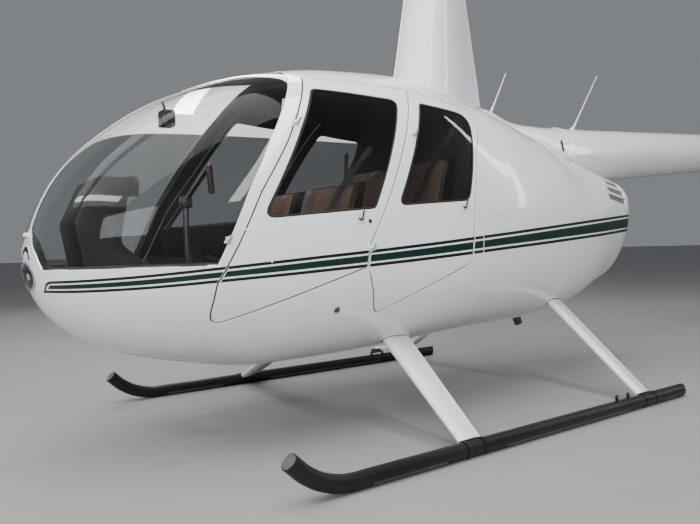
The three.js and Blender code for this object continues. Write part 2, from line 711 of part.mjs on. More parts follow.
// Pedals hang on one shaft that runs through the console
const pedalShaft = { y: -1900, z: 590, half: 320, radius: 10 };
const pedalShaftBar = (radius) => bar([-pedalShaft.half, pedalShaft.y, pedalShaft.z],
  [pedalShaft.half, pedalShaft.y, pedalShaft.z], radius, 8);

function pedals() {
  const { y, z, half } = pedalShaft;
  const arms = [-half + 15, -half + 115, half - 115, half - 15].map((x) => join(
    bar([x, y, z], [x, y - 25, z + 130], 8, 6),
    bar([x - 42, y - 25, z + 130], [x + 42, y - 25, z + 130], 11, 8)));
  const brackets = [-195, 195].map((x) => box([x - 6, y - 12, floorTop + touchGap], [x + 6, y + 12, z]));
  return join(pedalShaftBar(pedalShaft.radius), ...arms, ...brackets);
}

// Collective lever between the front seats, on their box
function collective() {
  const boxTop = seatBoxes[0].top;
  const pivot = box([-14, -1180, boxTop + touchGap], [14, -1130, boxTop + 40]);
  return join(pivot, bar([0, -1155, boxTop + 30], [0, -1500, boxTop + 150], 11, 8),
    bar([0, -1430, boxTop + 126], [0, -1530, boxTop + 160], 17, 10));
}

// Lamps and small outside pieces

const lampHigh = 818;

function landingLights() {
  const skin = hullSolid(-4).subtract(hullSolid(touchGap * -1));
  const oval = new THREE.Path().absellipse(0, lampHigh, 112, 58, 0, 2 * Math.PI).getSpacedPoints(28).slice(1);
  return skin.intersect(frontPrism(oval, -2500, -2000));
}

function compass() {
  return box([-36, -1738, 1498], [36, -1676, 1576]);
}

function beacon() {
  const y = 3650;
  const base = upright(38, 42, 95, 18, [0, y, coneHigh(y) + 195]);
  return base.subtract(loft(coneTable.map(([at, radius]) => circleAt(at, radius + touchGap))));
}

// Whip antennas: base in the skin, and tip
const whips = {
  cowl: [[0, 533, 1776], [0, 705, 2083]],
  cone: [[0, 1436, 1749], [0, 1770, 2205]],
};
const whip = ([base, tip]) => bar(base, tip, 8, 8, 3.5);

// Finishes

const finishes = {
  white: { color: 0xe9ebee, roughness: 0.28, metalness: 0 },
  glass: { color: 0x8f9a94, roughness: 0.05, metalness: 0, transparent: true, opacity: 0.35 },
  black: { color: 0x151617, roughness: 0.5, metalness: 0 },
  leather: { color: 0x35322f, roughness: 0.6, metalness: 0 },
  trim: { color: 0x2a2b2d, roughness: 0.8, metalness: 0 },
  metal: { color: 0x9a9da1, roughness: 0.35, metalness: 0.9 },
  castIron: { color: 0x4a4b4d, roughness: 0.7, metalness: 0.6 },
  blade: { color: 0xd9dbdc, roughness: 0.4, metalness: 0 },
  lens: { color: 0xf4f6f8, roughness: 0.1, metalness: 0 },
  red: { color: 0xa81410, roughness: 0.2, metalness: 0 },
};

const helicopter = new THREE.Group();

function addPiece(name, solid, finish) {
  const mesh = new THREE.Mesh(toGeometry(solid), new THREE.MeshStandardMaterial(finishes[finish]));
  mesh.name = name;
  helicopter.add(mesh);
}

addPiece('lower_tub', lowerTub(), 'white');
addPiece('cabin_frame', cabinFrame(), 'white');
addPiece('aft_body', aftBody(), 'white');
addPiece('cabin_floor', cabinFloor(), 'trim');
addPiece('firewall', firewall(), 'trim');
addPiece('engine_block', engineBlock(), 'castIron');
addPiece('exhaust_pipe', exhaust(), 'metal');
addPiece('mast_fairing', mastFairing(), 'white');
addPiece('upper_cowl', join(upperCowl(), whip(whips.cowl)), 'white');

for (const [sideName, side] of [['port', 1], ['starboard', -1]]) {
  addPiece(`windshield_${sideName}`, windshield(side), 'glass');
  addPiece(`front_door_${sideName}`, doorPanel('front', frontDoorOutline, frontWindowOutline, side), 'white');
  addPiece(`front_pane_${sideName}`, doorPane(frontWindowOutline, side), 'glass');
  addPiece(`rear_door_${sideName}`, doorPanel('rear', rearDoorOutline, rearWindowOutline, side), 'white');
  addPiece(`rear_pane_${sideName}`, doorPane(rearWindowOutline, side), 'glass');
  addPiece(`skid_${sideName}`, skid(side), 'black');
  for (const row of seatTable) addPiece(`${row.name}_seat_${sideName}`, seat(row, side), 'leather');
}

addPiece('front_gear_legs', gearLegs(legTable[0]), 'white');
addPiece('rear_gear_legs', gearLegs(legTable[1]), 'white');
addPiece('instrument_console', instrumentConsole(), 'black');
addPiece('cyclic_stick', cyclic(), 'black');
addPiece('pedals', pedals(), 'metal');
addPiece('collective_lever', collective(), 'black');
addPiece('compass', compass(), 'black');
addPiece('landing_light', landingLights(), 'lens');

addPiece('swashplate', swashplate(), 'metal');
addPiece('rotor_mast', rotorMast(), 'metal');
addPiece('rotor_hub', rotorHub(), 'metal');
addPiece('main_blade_fore', mainBlade(-1), 'blade');
addPiece('main_blade_aft', mainBlade(1), 'blade');

addPiece('tail_cone', join(tailCone(), whip(whips.cone)), 'white');
addPiece('tail_gearbox', tailGearbox(), 'metal');
addPiece('tail_rotor_hub', tailRotorHub(), 'metal');
addPiece('tail_blade_upper', tailBlade(1), 'blade');
addPiece('tail_blade_lower', tailBlade(-1), 'blade');
addPiece('upper_fin', fin(upperFinTable), 'white');
addPiece('lower_fin', fin(lowerFinTable), 'white');
addPiece('stabiliser', stabiliser(), 'white');
addPiece('tail_guard', tailGuard(), 'white');
addPiece('beacon', beacon(), 'red');

// The middle of the whole length, fore blade tip to tail guard, comes to y = 0
const extent = new THREE.Box3().setFromObject(helicopter);
helicopter.position.y = -(extent.min.y + extent.max.y) / 2;

export default helicopter;
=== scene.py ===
# Light four-seat helicopter on skids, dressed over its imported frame.
# Metres, +Z up, nose towards -Y, port side +X. Pieces are drawn with the main rotor's axis at y = 0.
import math
import bmesh
import bpy
import numpy as np
from mathutils import Matrix, Vector
from mathutils.bvhtree import BVHTree
from mathutils.geometry import delaunay_2d_cdt


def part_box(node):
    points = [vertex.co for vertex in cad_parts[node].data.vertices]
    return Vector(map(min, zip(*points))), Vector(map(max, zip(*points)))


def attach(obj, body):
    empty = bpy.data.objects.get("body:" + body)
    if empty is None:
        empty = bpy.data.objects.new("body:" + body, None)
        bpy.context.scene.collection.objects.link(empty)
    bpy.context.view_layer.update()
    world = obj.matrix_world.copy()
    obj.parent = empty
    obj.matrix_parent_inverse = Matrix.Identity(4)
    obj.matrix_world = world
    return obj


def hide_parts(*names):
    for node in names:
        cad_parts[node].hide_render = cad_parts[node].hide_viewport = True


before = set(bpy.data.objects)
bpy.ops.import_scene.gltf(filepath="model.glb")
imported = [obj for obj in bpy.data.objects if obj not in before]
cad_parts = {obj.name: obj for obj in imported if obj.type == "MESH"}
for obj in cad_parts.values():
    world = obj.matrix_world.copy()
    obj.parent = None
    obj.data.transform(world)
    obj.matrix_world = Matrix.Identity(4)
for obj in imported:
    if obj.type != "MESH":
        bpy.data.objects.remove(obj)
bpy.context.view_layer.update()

hubLow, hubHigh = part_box("rotor_hub")
mastAt = (hubLow.y + hubHigh.y) / 2          # where the frame has the main rotor's axis
print("frame loaded, mast at", round(mastAt, 4))


# Camera, floor and light

# Where the photograph was taken from, with the mast at y = 0; angles in degrees
view = {
    "eye": (3.03, -2.852, 0.895), "yaw": 54.08, "pitch": -1.04, "roll": -1.45,
    "focalPixels": 658.2, "pictureWide": 700, "sensorWide": 36.0,
}


def placed(name, data):
    thing = bpy.data.objects.new(name, data)
    bpy.context.scene.collection.objects.link(thing)
    return thing


def makeCamera():
    yaw, pitch, roll = (math.radians(view[key]) for key in ("yaw", "pitch", "roll"))
    ahead = Vector((-math.sin(yaw) * math.cos(pitch), math.cos(yaw) * math.cos(pitch), math.sin(pitch)))
    level = ahead.cross(Vector((0, 0, 1))).normalized()
    upright = level.cross(ahead)
    right = math.cos(roll) * level + math.sin(roll) * upright
    above = math.cos(roll) * upright - math.sin(roll) * level
    camera = placed("camera", bpy.data.cameras.new("camera"))
    eye = Vector(view["eye"]) + Vector((0, mastAt, 0))
    camera.matrix_world = Matrix((
        (right.x, above.x, -ahead.x, eye.x), (right.y, above.y, -ahead.y, eye.y),
        (right.z, above.z, -ahead.z, eye.z), (0, 0, 0, 1)))
    camera.data.sensor_width = view["sensorWide"]
    camera.data.lens = view["focalPixels"] / view["pictureWide"] * view["sensorWide"]
    camera.data.clip_start = 0.05
    camera.data.clip_end = 400
    bpy.context.scene.camera = camera


studio = {
    "sky": (0.8, 0.84, 0.9), "skyStrength": 0.27,
    # name: place, aimed at, size, power in watts, colour; the soft ones throw no mirror image
    "soft": {
        "overhead": ((0.8, -3.8, 6.6), (0, -0.4, 1), (6.5, 8), 820, (1.0, 0.985, 0.96)),
        "doorway": ((9.6, -9.6, 4.6), (0, -1.2, 1.0), (6, 4), 1250, (0.94, 0.97, 1.0)),
        "farSide": ((-8.0, 1.0, 5.0), (0, 0, 1), (8, 4), 220, (1.0, 0.98, 0.95)),
    },
    "strips": {
        "stripPort": ((3.4, -1.0, 5.2), (0, 0, 1), (0.35, 7.0), 130, (1.0, 0.99, 0.97)),
        "stripNose": ((1.0, -6.5, 4.6), (0, -1.5, 1), (5.0, 0.35), 110, (0.97, 0.985, 1.0)),
        "stripFar": ((-3.4, 0.0, 5.2), (0, 0, 1), (0.35, 7.0), 90, (1.0, 0.99, 0.97)),
        "stripTail": ((3.2, 6.0, 4.6), (0, 3.0, 1.4), (0.35, 6.0), 70, (1.0, 0.99, 0.97)),
    },
    "floorHalf": 150.0, "floorColour": (0.27, 0.27, 0.26), "floorPatch": (0.24, 0.24, 0.235),
}


def makeStudio():
    world = bpy.data.worlds.new("studio")
    world.use_nodes = True
    world.node_tree.nodes["Background"].inputs["Color"].default_value = (*studio["sky"], 1)
    world.node_tree.nodes["Background"].inputs["Strength"].default_value = studio["skyStrength"]
    bpy.context.scene.world = world
    for name, (place, aim, (wide, deep), power, colour) in {**studio["soft"], **studio["strips"]}.items():
        lamp = bpy.data.lights.new(name, "AREA")
        lamp.shape = "RECTANGLE"
        lamp.size = wide
        lamp.size_y = deep
        lamp.energy = power
        lamp.color = colour
        holder = placed(name, lamp)
        holder.location = place
        holder.rotation_euler = (Vector(aim) - Vector(place)).to_track_quat("-Z", "Y").to_euler()
        holder.visible_glossy = name in studio["strips"]
    half = studio["floorHalf"]
    floor = bpy.data.meshes.new("floor")
    floor.from_pydata([(-half, -half, 0), (half, -half, 0), (half, half, 0), (-half, half, 0)], [],
                      [(0, 1, 2, 3)])
    floor.materials.append(finishes["floor"])
    ground = placed("floor", floor)
    ground.location.z = -0.0005


# Finishes: colour, the colour it drifts to, roughness from and to, the bump's grain per metre and its height,
# other sockets of the shader

paints = {
    "whitePaint": ((0.79, 0.8, 0.82), (0.755, 0.765, 0.79), (0.16, 0.24), 260, 0.00002,
                   {"Coat Weight": 0.7, "Coat Roughness": 0.04}),
    "greenPaint": ((0.003, 0.02, 0.015), (0.005, 0.024, 0.018), (0.3, 0.38), 260, 0.00002,
                   {"Specular IOR Level": 0.3, "Coat Weight": 0.1}),
    "darkPaint": ((0.003, 0.007, 0.007), (0.005, 0.009, 0.009), (0.3, 0.38), 260, 0.00002,
                  {"Specular IOR Level": 0.3, "Coat Weight": 0.1}),
    # Grey for the louvre recesses: painted shade, added to the shade the recess itself casts
    "greyPaint": ((0.13, 0.13, 0.12), (0.11, 0.11, 0.1), (0.35, 0.5), 260, 0.00004, {}),
    "skidPaint": ((0.006, 0.006, 0.007), (0.012, 0.011, 0.01), (0.28, 0.44), 380, 0.0001,
                  {"Specular IOR Level": 0.3}),
    "bladePaint": ((0.55, 0.56, 0.57), (0.49, 0.5, 0.51), (0.3, 0.42), 300, 0.00004,
                   {"Coat Weight": 0.2, "Coat Roughness": 0.2}),
    "lining": ((0.012, 0.012, 0.012), (0.02, 0.019, 0.019), (0.75, 0.9), 160, 0.0003,
               {"Sheen Weight": 0.08, "Sheen Roughness": 0.5}),
    "carpet": ((0.03, 0.031, 0.034), (0.05, 0.05, 0.053), (0.85, 0.95), 520, 0.0015,
               {"Sheen Weight": 0.5, "Sheen Roughness": 0.6}),
    "blackPlastic": ((0.018, 0.018, 0.019), (0.026, 0.026, 0.027), (0.38, 0.52), 900, 0.00015, {}),
    "rubber": ((0.014, 0.014, 0.014), (0.024, 0.023, 0.022), (0.6, 0.75), 600, 0.0001, {}),
    "aluminium": ((0.55, 0.56, 0.58), (0.48, 0.49, 0.51), (0.28, 0.42), 500, 0.00004, {"Metallic": 0.9}),
    "steel": ((0.4, 0.4, 0.41), (0.33, 0.33, 0.34), (0.25, 0.4), 450, 0.00004, {"Metallic": 1.0}),
    "darkSteel": ((0.1, 0.1, 0.11), (0.15, 0.14, 0.14), (0.35, 0.5), 450, 0.00006, {"Metallic": 0.8}),
    "castMetal": ((0.2, 0.2, 0.21), (0.14, 0.14, 0.14), (0.55, 0.75), 350, 0.0006, {"Metallic": 0.6}),
    "brownLeather": ((0.13, 0.069, 0.041), (0.1, 0.052, 0.031), (0.38, 0.55), 420, 0.0005,
                     {"Sheen Weight": 0.1}),
    "wallCloth": ((0.08, 0.058, 0.045), (0.062, 0.045, 0.035), (0.7, 0.85), 300, 0.0004,
                  {"Sheen Weight": 0.1}),
    "piping": ((0.06, 0.034, 0.022), (0.048, 0.028, 0.018), (0.45, 0.6), 420, 0.0003, {}),
    "webbing": ((0.03, 0.03, 0.032), (0.044, 0.044, 0.046), (0.6, 0.75), 900, 0.0004, {}),
    "dialFace": ((0.006, 0.006, 0.006), (0.012, 0.012, 0.012), (0.3, 0.4), 500, 0.00002, {}),
    "marking": ((0.75, 0.75, 0.72), (0.68, 0.68, 0.66), (0.4, 0.5), 500, 0.00002, {}),
    "redPlastic": ((0.42, 0.012, 0.01), (0.36, 0.01, 0.008), (0.12, 0.2), 300, 0.00002, {"Coat Weight": 0.5}),
    "lampLens": ((0.8, 0.82, 0.84), (0.74, 0.76, 0.79), (0.08, 0.14), 300, 0.00003, {"Coat Weight": 0.8}),
    "reflector": ((0.75, 0.76, 0.78), (0.68, 0.69, 0.71), (0.06, 0.12), 300, 0.00002, {"Metallic": 1.0}),
    "clearAcrylic": ((0.8, 0.82, 0.81), (0.77, 0.8, 0.79), (0.0, 0.0), 3, 0,
                     {"Transmission Weight": 1.0, "IOR": 1.28}),
    "tintedAcrylic": ((0.62, 0.63, 0.62), (0.58, 0.59, 0.58), (0.0, 0.0), 3, 0,
                      {"Transmission Weight": 1.0, "IOR": 1.3}),
    "dialGlass": ((0.95, 0.95, 0.95), (0.92, 0.92, 0.92), (0.0, 0.02), 40, 0.00001,
                  {"Transmission Weight": 1.0, "IOR": 1.3}),
    "floor": (studio["floorColour"], studio["floorPatch"], (0.45, 0.65), 40, 0.0003, {}),
}


def makeFinish(name, colour, patch, rough, grain, height, sockets):
    material = bpy.data.materials.new(name)
    material.use_nodes = True
    nodes = material.node_tree.nodes
    link = material.node_tree.links.new
    shader = nodes["Principled BSDF"]
    place = nodes.new("ShaderNodeTexCoord")

    def noise(scale, detail):
        texture = nodes.new("ShaderNodeTexNoise")
        texture.inputs["Scale"].default_value = scale
        texture.inputs["Detail"].default_value = detail
        link(place.outputs["Object"], texture.inputs["Vector"])
        return texture.outputs["Fac"]

    drift = nodes.new("ShaderNodeValToRGB")
    drift.color_ramp.elements[0].position = 0.35
    drift.color_ramp.elements[0].color = (*colour, 1)
    drift.color_ramp.elements[1].position = 0.68
    drift.color_ramp.elements[1].color = (*patch, 1)
    link(noise(2.3 if name != "floor" else 0.35, 6), drift.inputs["Fac"])
    link(drift.outputs["Color"], shader.inputs["Base Color"])
    dull = nodes.new("ShaderNodeMapRange")
    dull.inputs["From Min"].default_value = 0.3
    dull.inputs["From Max"].default_value = 0.7
    dull.inputs["To Min"].default_value = rough[0]
    dull.inputs["To Max"].default_value = rough[1]
    link(noise(7, 5), dull.inputs["Value"])
    link(dull.outputs["Result"], shader.inputs["Roughness"])
    if height > 0:
        bump = nodes.new("ShaderNodeBump")
        bump.inputs["Distance"].default_value = height
        bump.inputs["Strength"].default_value = 1.0
        link(noise(grain, 3), bump.inputs["Height"])
        link(bump.outputs["Normal"], shader.inputs["Normal"])
    for socket, value in sockets.items():
        shader.inputs[socket].default_value = value
    return material


finishes = {name: makeFinish(name, *row) for name, row in paints.items()}


# Shapes: points and faces

def shape(points, faces):
    return np.asarray(points, float).reshape(-1, 3), [tuple(int(i) for i in face) for face in faces]


def merged(*shapes):
    points, faces, start = [], [], 0
    for where, corners in shapes:
        points.append(where)
        faces += [tuple(i + start for i in face) for face in corners]
        start += len(where)
    return np.concatenate(points), faces


def flipped(part):
    points, faces = part
    return points * (-1, 1, 1), [face[::-1] for face in faces]


def paired(parts):
    # The same parts again on the other side
    return parts + [(finish, flipped(part)) for finish, part in parts]


def loft(rings, capped=True):
    # A skin over rings of equal count
    count = len(rings[0])
    points = np.concatenate([np.asarray(ring, float) for ring in rings])
    faces = [(i * count + k, i * count + (k + 1) % count, (i + 1) * count + (k + 1) % count,
              (i + 1) * count + k) for i in range(len(rings) - 1) for k in range(count)]
    if capped:
        faces.append(tuple(reversed(range(count))))
        faces.append(tuple((len(rings) - 1) * count + k for k in range(count)))
    return outward((points, faces))


def outward(part):
    # Faces turned so that the closed skin's volume is positive
    points, faces = part
    total = 0.0
    for face in faces:
        a = points[face[0]]
        for k in range(1, len(face) - 1):
            total += float(np.dot(a, np.cross(points[face[k]], points[face[k + 1]])))
    return part if total > 0 else (points, [face[::-1] for face in faces])


def basis(direction):
    along = Vector(direction).normalized()
    side = along.orthogonal().normalized()
    return np.array(side), np.array(along.cross(side)), np.array(along)


def lathe(profile, start, direction, sides=32):
    # Profile rows: distance along the axis, radius; the end rings are closed by flat caps
    side, other, along = basis(direction)
    angles = 2 * np.pi * np.arange(sides) / sides
    rings = [np.asarray(start, float) + along * far + np.outer(np.cos(angles), side) * max(radius, 1e-5)
             + np.outer(np.sin(angles), other) * max(radius, 1e-5) for far, radius in profile]
    return loft(rings)


def rod(start, end, radius, sides=16):
    start, end = np.asarray(start, float), np.asarray(end, float)
    long = float(np.linalg.norm(end - start))
    edge = min(0.15 * radius, 0.002)
    profile = [(0, radius - edge), (edge, radius), (long - edge, radius), (long, radius - edge)]
    return lathe(profile, start, end - start, sides)


def smoothLine(points, step):
    # A curve through the points, resampled at about equal steps
    points = np.asarray(points, float)
    if len(points) > 2:
        ends = np.concatenate([[2 * points[0] - points[1]], points, [2 * points[-1] - points[-2]]])
        fine = []
        for a, b, c, d in zip(ends, ends[1:], ends[2:], ends[3:]):
            for t in np.linspace(0, 1, 12, endpoint=False):
                fine.append(0.5 * (2 * b + (c - a) * t + (2 * a - 5 * b + 4 * c - d) * t * t
                                   + (3 * b - a - 3 * c + d) * t ** 3))
        points = np.array(fine + [points[-1]])
    return evenly(points, step)


def unit(vector):
    return vector / np.linalg.norm(vector)


def units(rows):
    return rows / np.linalg.norm(rows, axis=1)[:, None]


def stepsOf(line):
    return np.linalg.norm(np.diff(line, axis=0), axis=1)


def farAlong(line):
    # How far along the line each of its points is
    return np.concatenate([[0], np.cumsum(stepsOf(line))])


def evenly(points, step):
    far = farAlong(points)
    count = max(2, int(round(far[-1] / step)) + 1)
    at = np.linspace(0, far[-1], count)
    return np.stack([np.interp(at, far, points[:, k]) for k in range(points.shape[1])], -1)


def tube(points, radius, sides=10, closed=False, flat=1.0, facing=None):
    # A round or flattened tube along a line; facing gives the direction of its thin side at each point
    points = np.asarray(points, float)
    count = len(points)
    if closed:
        along = np.roll(points, -1, 0) - np.roll(points, 1, 0)
    else:
        along = np.gradient(points, axis=0)
    along = units(along)
    if facing is None:
        thin = np.zeros_like(points)
        thin[0] = basis(along[0])[0]
        for i in range(1, count):
            thin[i] = unit(thin[i - 1] - along[i] * np.dot(thin[i - 1], along[i]))
    else:
        thin = np.asarray(facing, float) * np.ones_like(points)
        thin = units(thin - along * np.sum(thin * along, 1)[:, None])
    across = np.cross(along, thin)
    radii = np.broadcast_to(np.asarray(radius, float), (count,))
    angles = 2 * np.pi * (np.arange(sides) + 0.5) / sides
    rings = [points[i] + radii[i] * (np.outer(np.cos(angles), across[i])
                                     + flat * np.outer(np.sin(angles), thin[i])) for i in range(count)]
    if not closed:
        return loft(rings)
    skin, faces = loft(rings + [rings[0]], capped=False)
    total = count * sides
    return skin[:total], [tuple(i % total for i in face) for face in faces]


def taken(form):
    # A bmesh as points and faces
    form.verts.index_update()
    part = shape([tuple(v.co) for v in form.verts], [[v.index for v in f.verts] for f in form.faces])
    form.free()
    return part


def block(low, high, edge=0.004, segments=2):
    low, high = np.asarray(low, float), np.asarray(high, float)
    form = bmesh.new()
    bmesh.ops.create_cube(form, size=1.0)
    for vert in form.verts:
        vert.co = Vector((low + high) / 2 + np.array(vert.co) * (high - low))
    if edge > 0:
        bmesh.ops.bevel(form, geom=list(form.edges), offset=min(edge, 0.45 * float((high - low).min())),
                        segments=segments, affect="EDGES", profile=0.5)
    return taken(form)


def plate(outline, depth, edge=0.0):
    # An outline of 3-D points in one plane, thickened by the vector depth, its edges rounded
    outline = np.asarray(outline, float)
    form = bmesh.new()
    near = [form.verts.new(tuple(p)) for p in outline]
    far = [form.verts.new(tuple(p + np.asarray(depth, float))) for p in outline]
    count = len(near)
    form.faces.new(near[::-1])
    form.faces.new(far)
    for i in range(count):
        form.faces.new((near[i], near[(i + 1) % count], far[(i + 1) % count], far[i]))
    bmesh.ops.recalc_face_normals(form, faces=list(form.faces))
    if edge > 0:
        sharp = [e for e in form.edges if len(e.link_faces) == 2 and e.calc_face_angle(0) > 1.0]
        bmesh.ops.bevel(form, geom=sharp, offset=edge, segments=2, affect="EDGES", profile=0.5)
    return taken(form)


def domes(places, normals, radius, high):
    # Rivet and screw heads
    sides = 8
    angles = 2 * np.pi * np.arange(sides) / sides
    heads = []
    for place, normal in zip(places, normals):
        side, other, along = basis(normal)
        ring = np.outer(np.cos(angles), side) + np.outer(np.sin(angles), other)
        points = np.concatenate([place - along * 0.0006 + ring * radius,
                                 place + along * high * 0.75 + ring * radius * 0.7, [place + along * high]])
        faces = [(k, (k + 1) % sides, sides + (k + 1) % sides, sides + k) for k in range(sides)]
        faces += [(sides + k, sides + (k + 1) % sides, 2 * sides) for k in range(sides)]
        faces.append(tuple(reversed(range(sides))))
        heads.append((points, faces))
    return merged(*heads)


# Body: one smooth skin, worked out for the port side and cut into its panels along the outlines

hull = {
    "noseAhead": 2.337, "length": 4.19, "middleHigh": 1.11, "halfWide": 0.64, "halfTall": 0.765,
    # aft of the nose, top, bottom, height of the widest line, half width there, roundness above and below it
    "sections": [
        (0, 0.87, 0.87, 0.87, 0, 2.0, 2.0), (0.03, 1.04, 0.73, 0.94, 0.215, 2.0, 2.0),
        (0.12, 1.23, 0.605, 0.93, 0.37, 2.1, 2.1), (0.3, 1.425, 0.49, 0.92, 0.48, 2.2, 2.2),
        (0.6, 1.625, 0.4, 0.91, 0.57, 2.3, 2.3), (1.0, 1.775, 0.34, 0.91, 0.62, 2.4, 2.4),
        (1.4, 1.845, 0.345, 0.92, 0.64, 2.5, 2.4), (1.9, 1.875, 0.37, 0.94, 0.635, 2.5, 2.4),
        (2.4, 1.795, 0.395, 0.98, 0.595, 2.4, 2.4), (2.9, 1.67, 0.405, 1.03, 0.53, 2.33, 2.3),
        (3.4, 1.575, 0.465, 1.08, 0.455, 1.7, 2.2), (3.8, 1.452, 0.588, 1.12, 0.36, 2.0, 2.1),
        (4.02, 1.378, 0.654, 1.15, 0.3, 2.5, 1.9), (4.14, 1.362, 0.95, 1.15, 0.19, 2.1, 1.8),
        (4.19, 1.17, 1.17, 1.17, 0, 2.0, 2.0),
    ],
    "spacing": 0.024,
}


def monotone(xs, ys):
    # Smooth curve through the rows with no overshoot between them
    xs, ys = np.asarray(xs, float), np.asarray(ys, float)
    wide = np.diff(xs)
    slope = np.diff(ys) / wide
    tangent = np.zeros(len(xs))
    for i in range(1, len(xs) - 1):
        if slope[i - 1] * slope[i] > 0:
            w0, w1 = 2 * wide[i] + wide[i - 1], wide[i] + 2 * wide[i - 1]
            tangent[i] = (w0 + w1) / (w0 / slope[i - 1] + w1 / slope[i])

    def atEnd(w0, w1, s0, s1):
        raw = ((2 * w0 + w1) * s0 - w0 * s1) / (w0 + w1)
        if raw * s0 <= 0:
            return 0.0
        return 3 * s0 if s0 * s1 < 0 and abs(raw) > 3 * abs(s0) else raw

    tangent[0] = atEnd(wide[0], wide[1], slope[0], slope[1])
    tangent[-1] = atEnd(wide[-1], wide[-2], slope[-1], slope[-2])

    def value(x):
        x = np.asarray(x, float)
        i = np.clip(np.searchsorted(xs, x, side="right") - 1, 0, len(wide) - 1)
        t = (x - xs[i]) / wide[i]
        lead = ys[i] * (1 + 2 * t) * (1 - t) ** 2 + ys[i + 1] * t * t * (3 - 2 * t)
        return lead + wide[i] * (tangent[i] * t * (1 - t) ** 2 - tangent[i + 1] * t * t * (1 - t))
    return value


def angleAt(y):
    return np.arccos(np.clip(1 - 2 * (np.asarray(y, float) + hull["noseAhead"]) / hull["length"], -1, 1))


sectionRows = np.array(hull["sections"])
sectionAngles = np.arccos(1 - 2 * sectionRows[:, 0] / hull["length"])
sectionCurves = [monotone(sectionAngles, sectionRows[:, k]) for k in range(1, 7)]
hullMiddle = np.array([0, hull["length"] / 2 - hull["noseAhead"], hull["middleHigh"]])
hullReach = np.array([hull["halfWide"], hull["length"] / 2, hull["halfTall"]])


def sectionAt(angle):
    # Top, bottom, height of the widest line, half width there, roundness above and below
    return [curve(angle) for curve in sectionCurves]


def sectionShare(angle, z):
    # For a height: 1 above the widest line and -1 below, share of the way there, roundness, half width
    top, bottom, wide, half, over, under = sectionAt(angle)
    above = z > wide
    share = np.abs(z - wide) / np.maximum(np.where(above, top - wide, wide - bottom), 1e-9)
    return np.where(above, 1, -1), share, np.where(above, over, under), half


def sectionWide(angle, z):
    # Half width of the body's section at a height, 0 above and below it
    _, share, n, half = sectionShare(angle, z)
    return np.where(share < 1, half * np.maximum(1 - np.minimum(share, 1) ** n, 0) ** (1 / n), 0)


def noseAngle(x, z):
    # How far back along the nose the skin stands at this x and z, seen from ahead
    low, high = np.full(np.shape(x), 1e-3), np.full(np.shape(x), math.pi / 2)
    for _ in range(50):
        angle = (low + high) / 2
        inside = sectionWide(angle, z) > x
        low, high = np.where(inside, low, angle), np.where(inside, angle, high)
    return angle


def hullPoint(angle, around, inset=0.0):
    angle, around = np.broadcast_arrays(np.asarray(angle, float), np.asarray(around, float))
    top, bottom, wide, half, over, under = sectionAt(angle)
    c, s = np.cos(around), np.sin(around)
    power = 2 / np.where(s > 0, over, under)
    tall = np.where(s > 0, top - wide, wide - bottom)
    point = np.stack([half * np.sign(c) * np.abs(c) ** power, hull["length"] * (1 - np.cos(angle)) / 2
                      - hull["noseAhead"], wide + tall * np.sign(s) * np.abs(s) ** power], -1)
    inset = np.asarray(inset, float)
    inset = inset[..., None] if inset.ndim else inset
    return hullMiddle + (point - hullMiddle) * (1 - inset / hullReach)


def hullNormal(angle, around):
    d = 1e-4
    angle = np.clip(angle, 2 * d, math.pi - 2 * d)
    lean = hullPoint(angle + d, around) - hullPoint(angle - d, around)
    turn = hullPoint(angle, around + d) - hullPoint(angle, around - d)
    normal = np.cross(lean, turn)
    normal /= np.maximum(np.linalg.norm(normal, axis=-1), 1e-12)[..., None]
    outwards = np.sum(normal * (hullPoint(angle, around) - hullMiddle), -1) < 0
    normal[outwards] *= -1
    return normal


def sideAround(y, z):
    # The angle round the section where the port side stands at this height
    way, share, n, _ = sectionShare(angleAt(y), z)
    return way * np.arcsin(np.clip(share, 0, 1) ** (n / 2))


def nearestParam(points):
    # Angle along and round for points on or near the port skin
    x, y, z = points[..., 0], points[..., 1], points[..., 2]
    angle = angleAt(y)
    way, share, n, half = sectionShare(angle, z)
    out = (np.maximum(x, 0) / np.maximum(half, 1e-9)) ** (n / 2)
    return angle, way * np.arctan2(share ** (n / 2), out)


# Flat map of the port skin: distance along, and girth from the widest line
mapAngles = np.linspace(0, math.pi, 1201)
mapAlong = farAlong(hullPoint(mapAngles, 0 * mapAngles))
roundGrid = np.linspace(-math.pi / 2, math.pi / 2, 181)
girthGrid = hullPoint(mapAngles[:, None], roundGrid[None, :])
halfGirth = np.linalg.norm(np.diff(girthGrid, axis=1), axis=2).sum(1)


def toMap(angle, around):
    along = np.interp(angle, mapAngles, mapAlong)
    return np.stack([along, around * np.interp(angle, mapAngles, halfGirth) / math.pi], -1)


def fromMap(flat):
    angle = np.interp(flat[:, 0], mapAlong, mapAngles)
    girth = np.maximum(np.interp(angle, mapAngles, halfGirth), 1e-9)
    return angle, np.clip(flat[:, 1] * math.pi / girth, -math.pi / 2, math.pi / 2)


def rounded(rows, steps=6):
    # Corners of an outline replaced by curves; rows: y, z, radius
    count = len(rows)
    points = []
    for i, row in enumerate(rows):
        here = np.array(row[:2], float)
        radius = row[2] if len(row) > 2 else 0
        if radius == 0:
            points.append(here)
            continue
        before = np.array(rows[i - 1][:2], float) - here
        after = np.array(rows[(i + 1) % count][:2], float) - here
        longBefore, longAfter = np.linalg.norm(before), np.linalg.norm(after)
        half = math.acos(np.clip(before @ after / (longBefore * longAfter), -1, 1)) / 2
        reach = min(radius / math.tan(half), 0.48 * longBefore, 0.48 * longAfter)
        a, b = here + before / longBefore * reach, here + after / longAfter * reach
        for t in np.linspace(0, 1, steps + 1):
            points.append((1 - t) ** 2 * a + 2 * t * (1 - t) * here + t * t * b)
    return np.array(points)


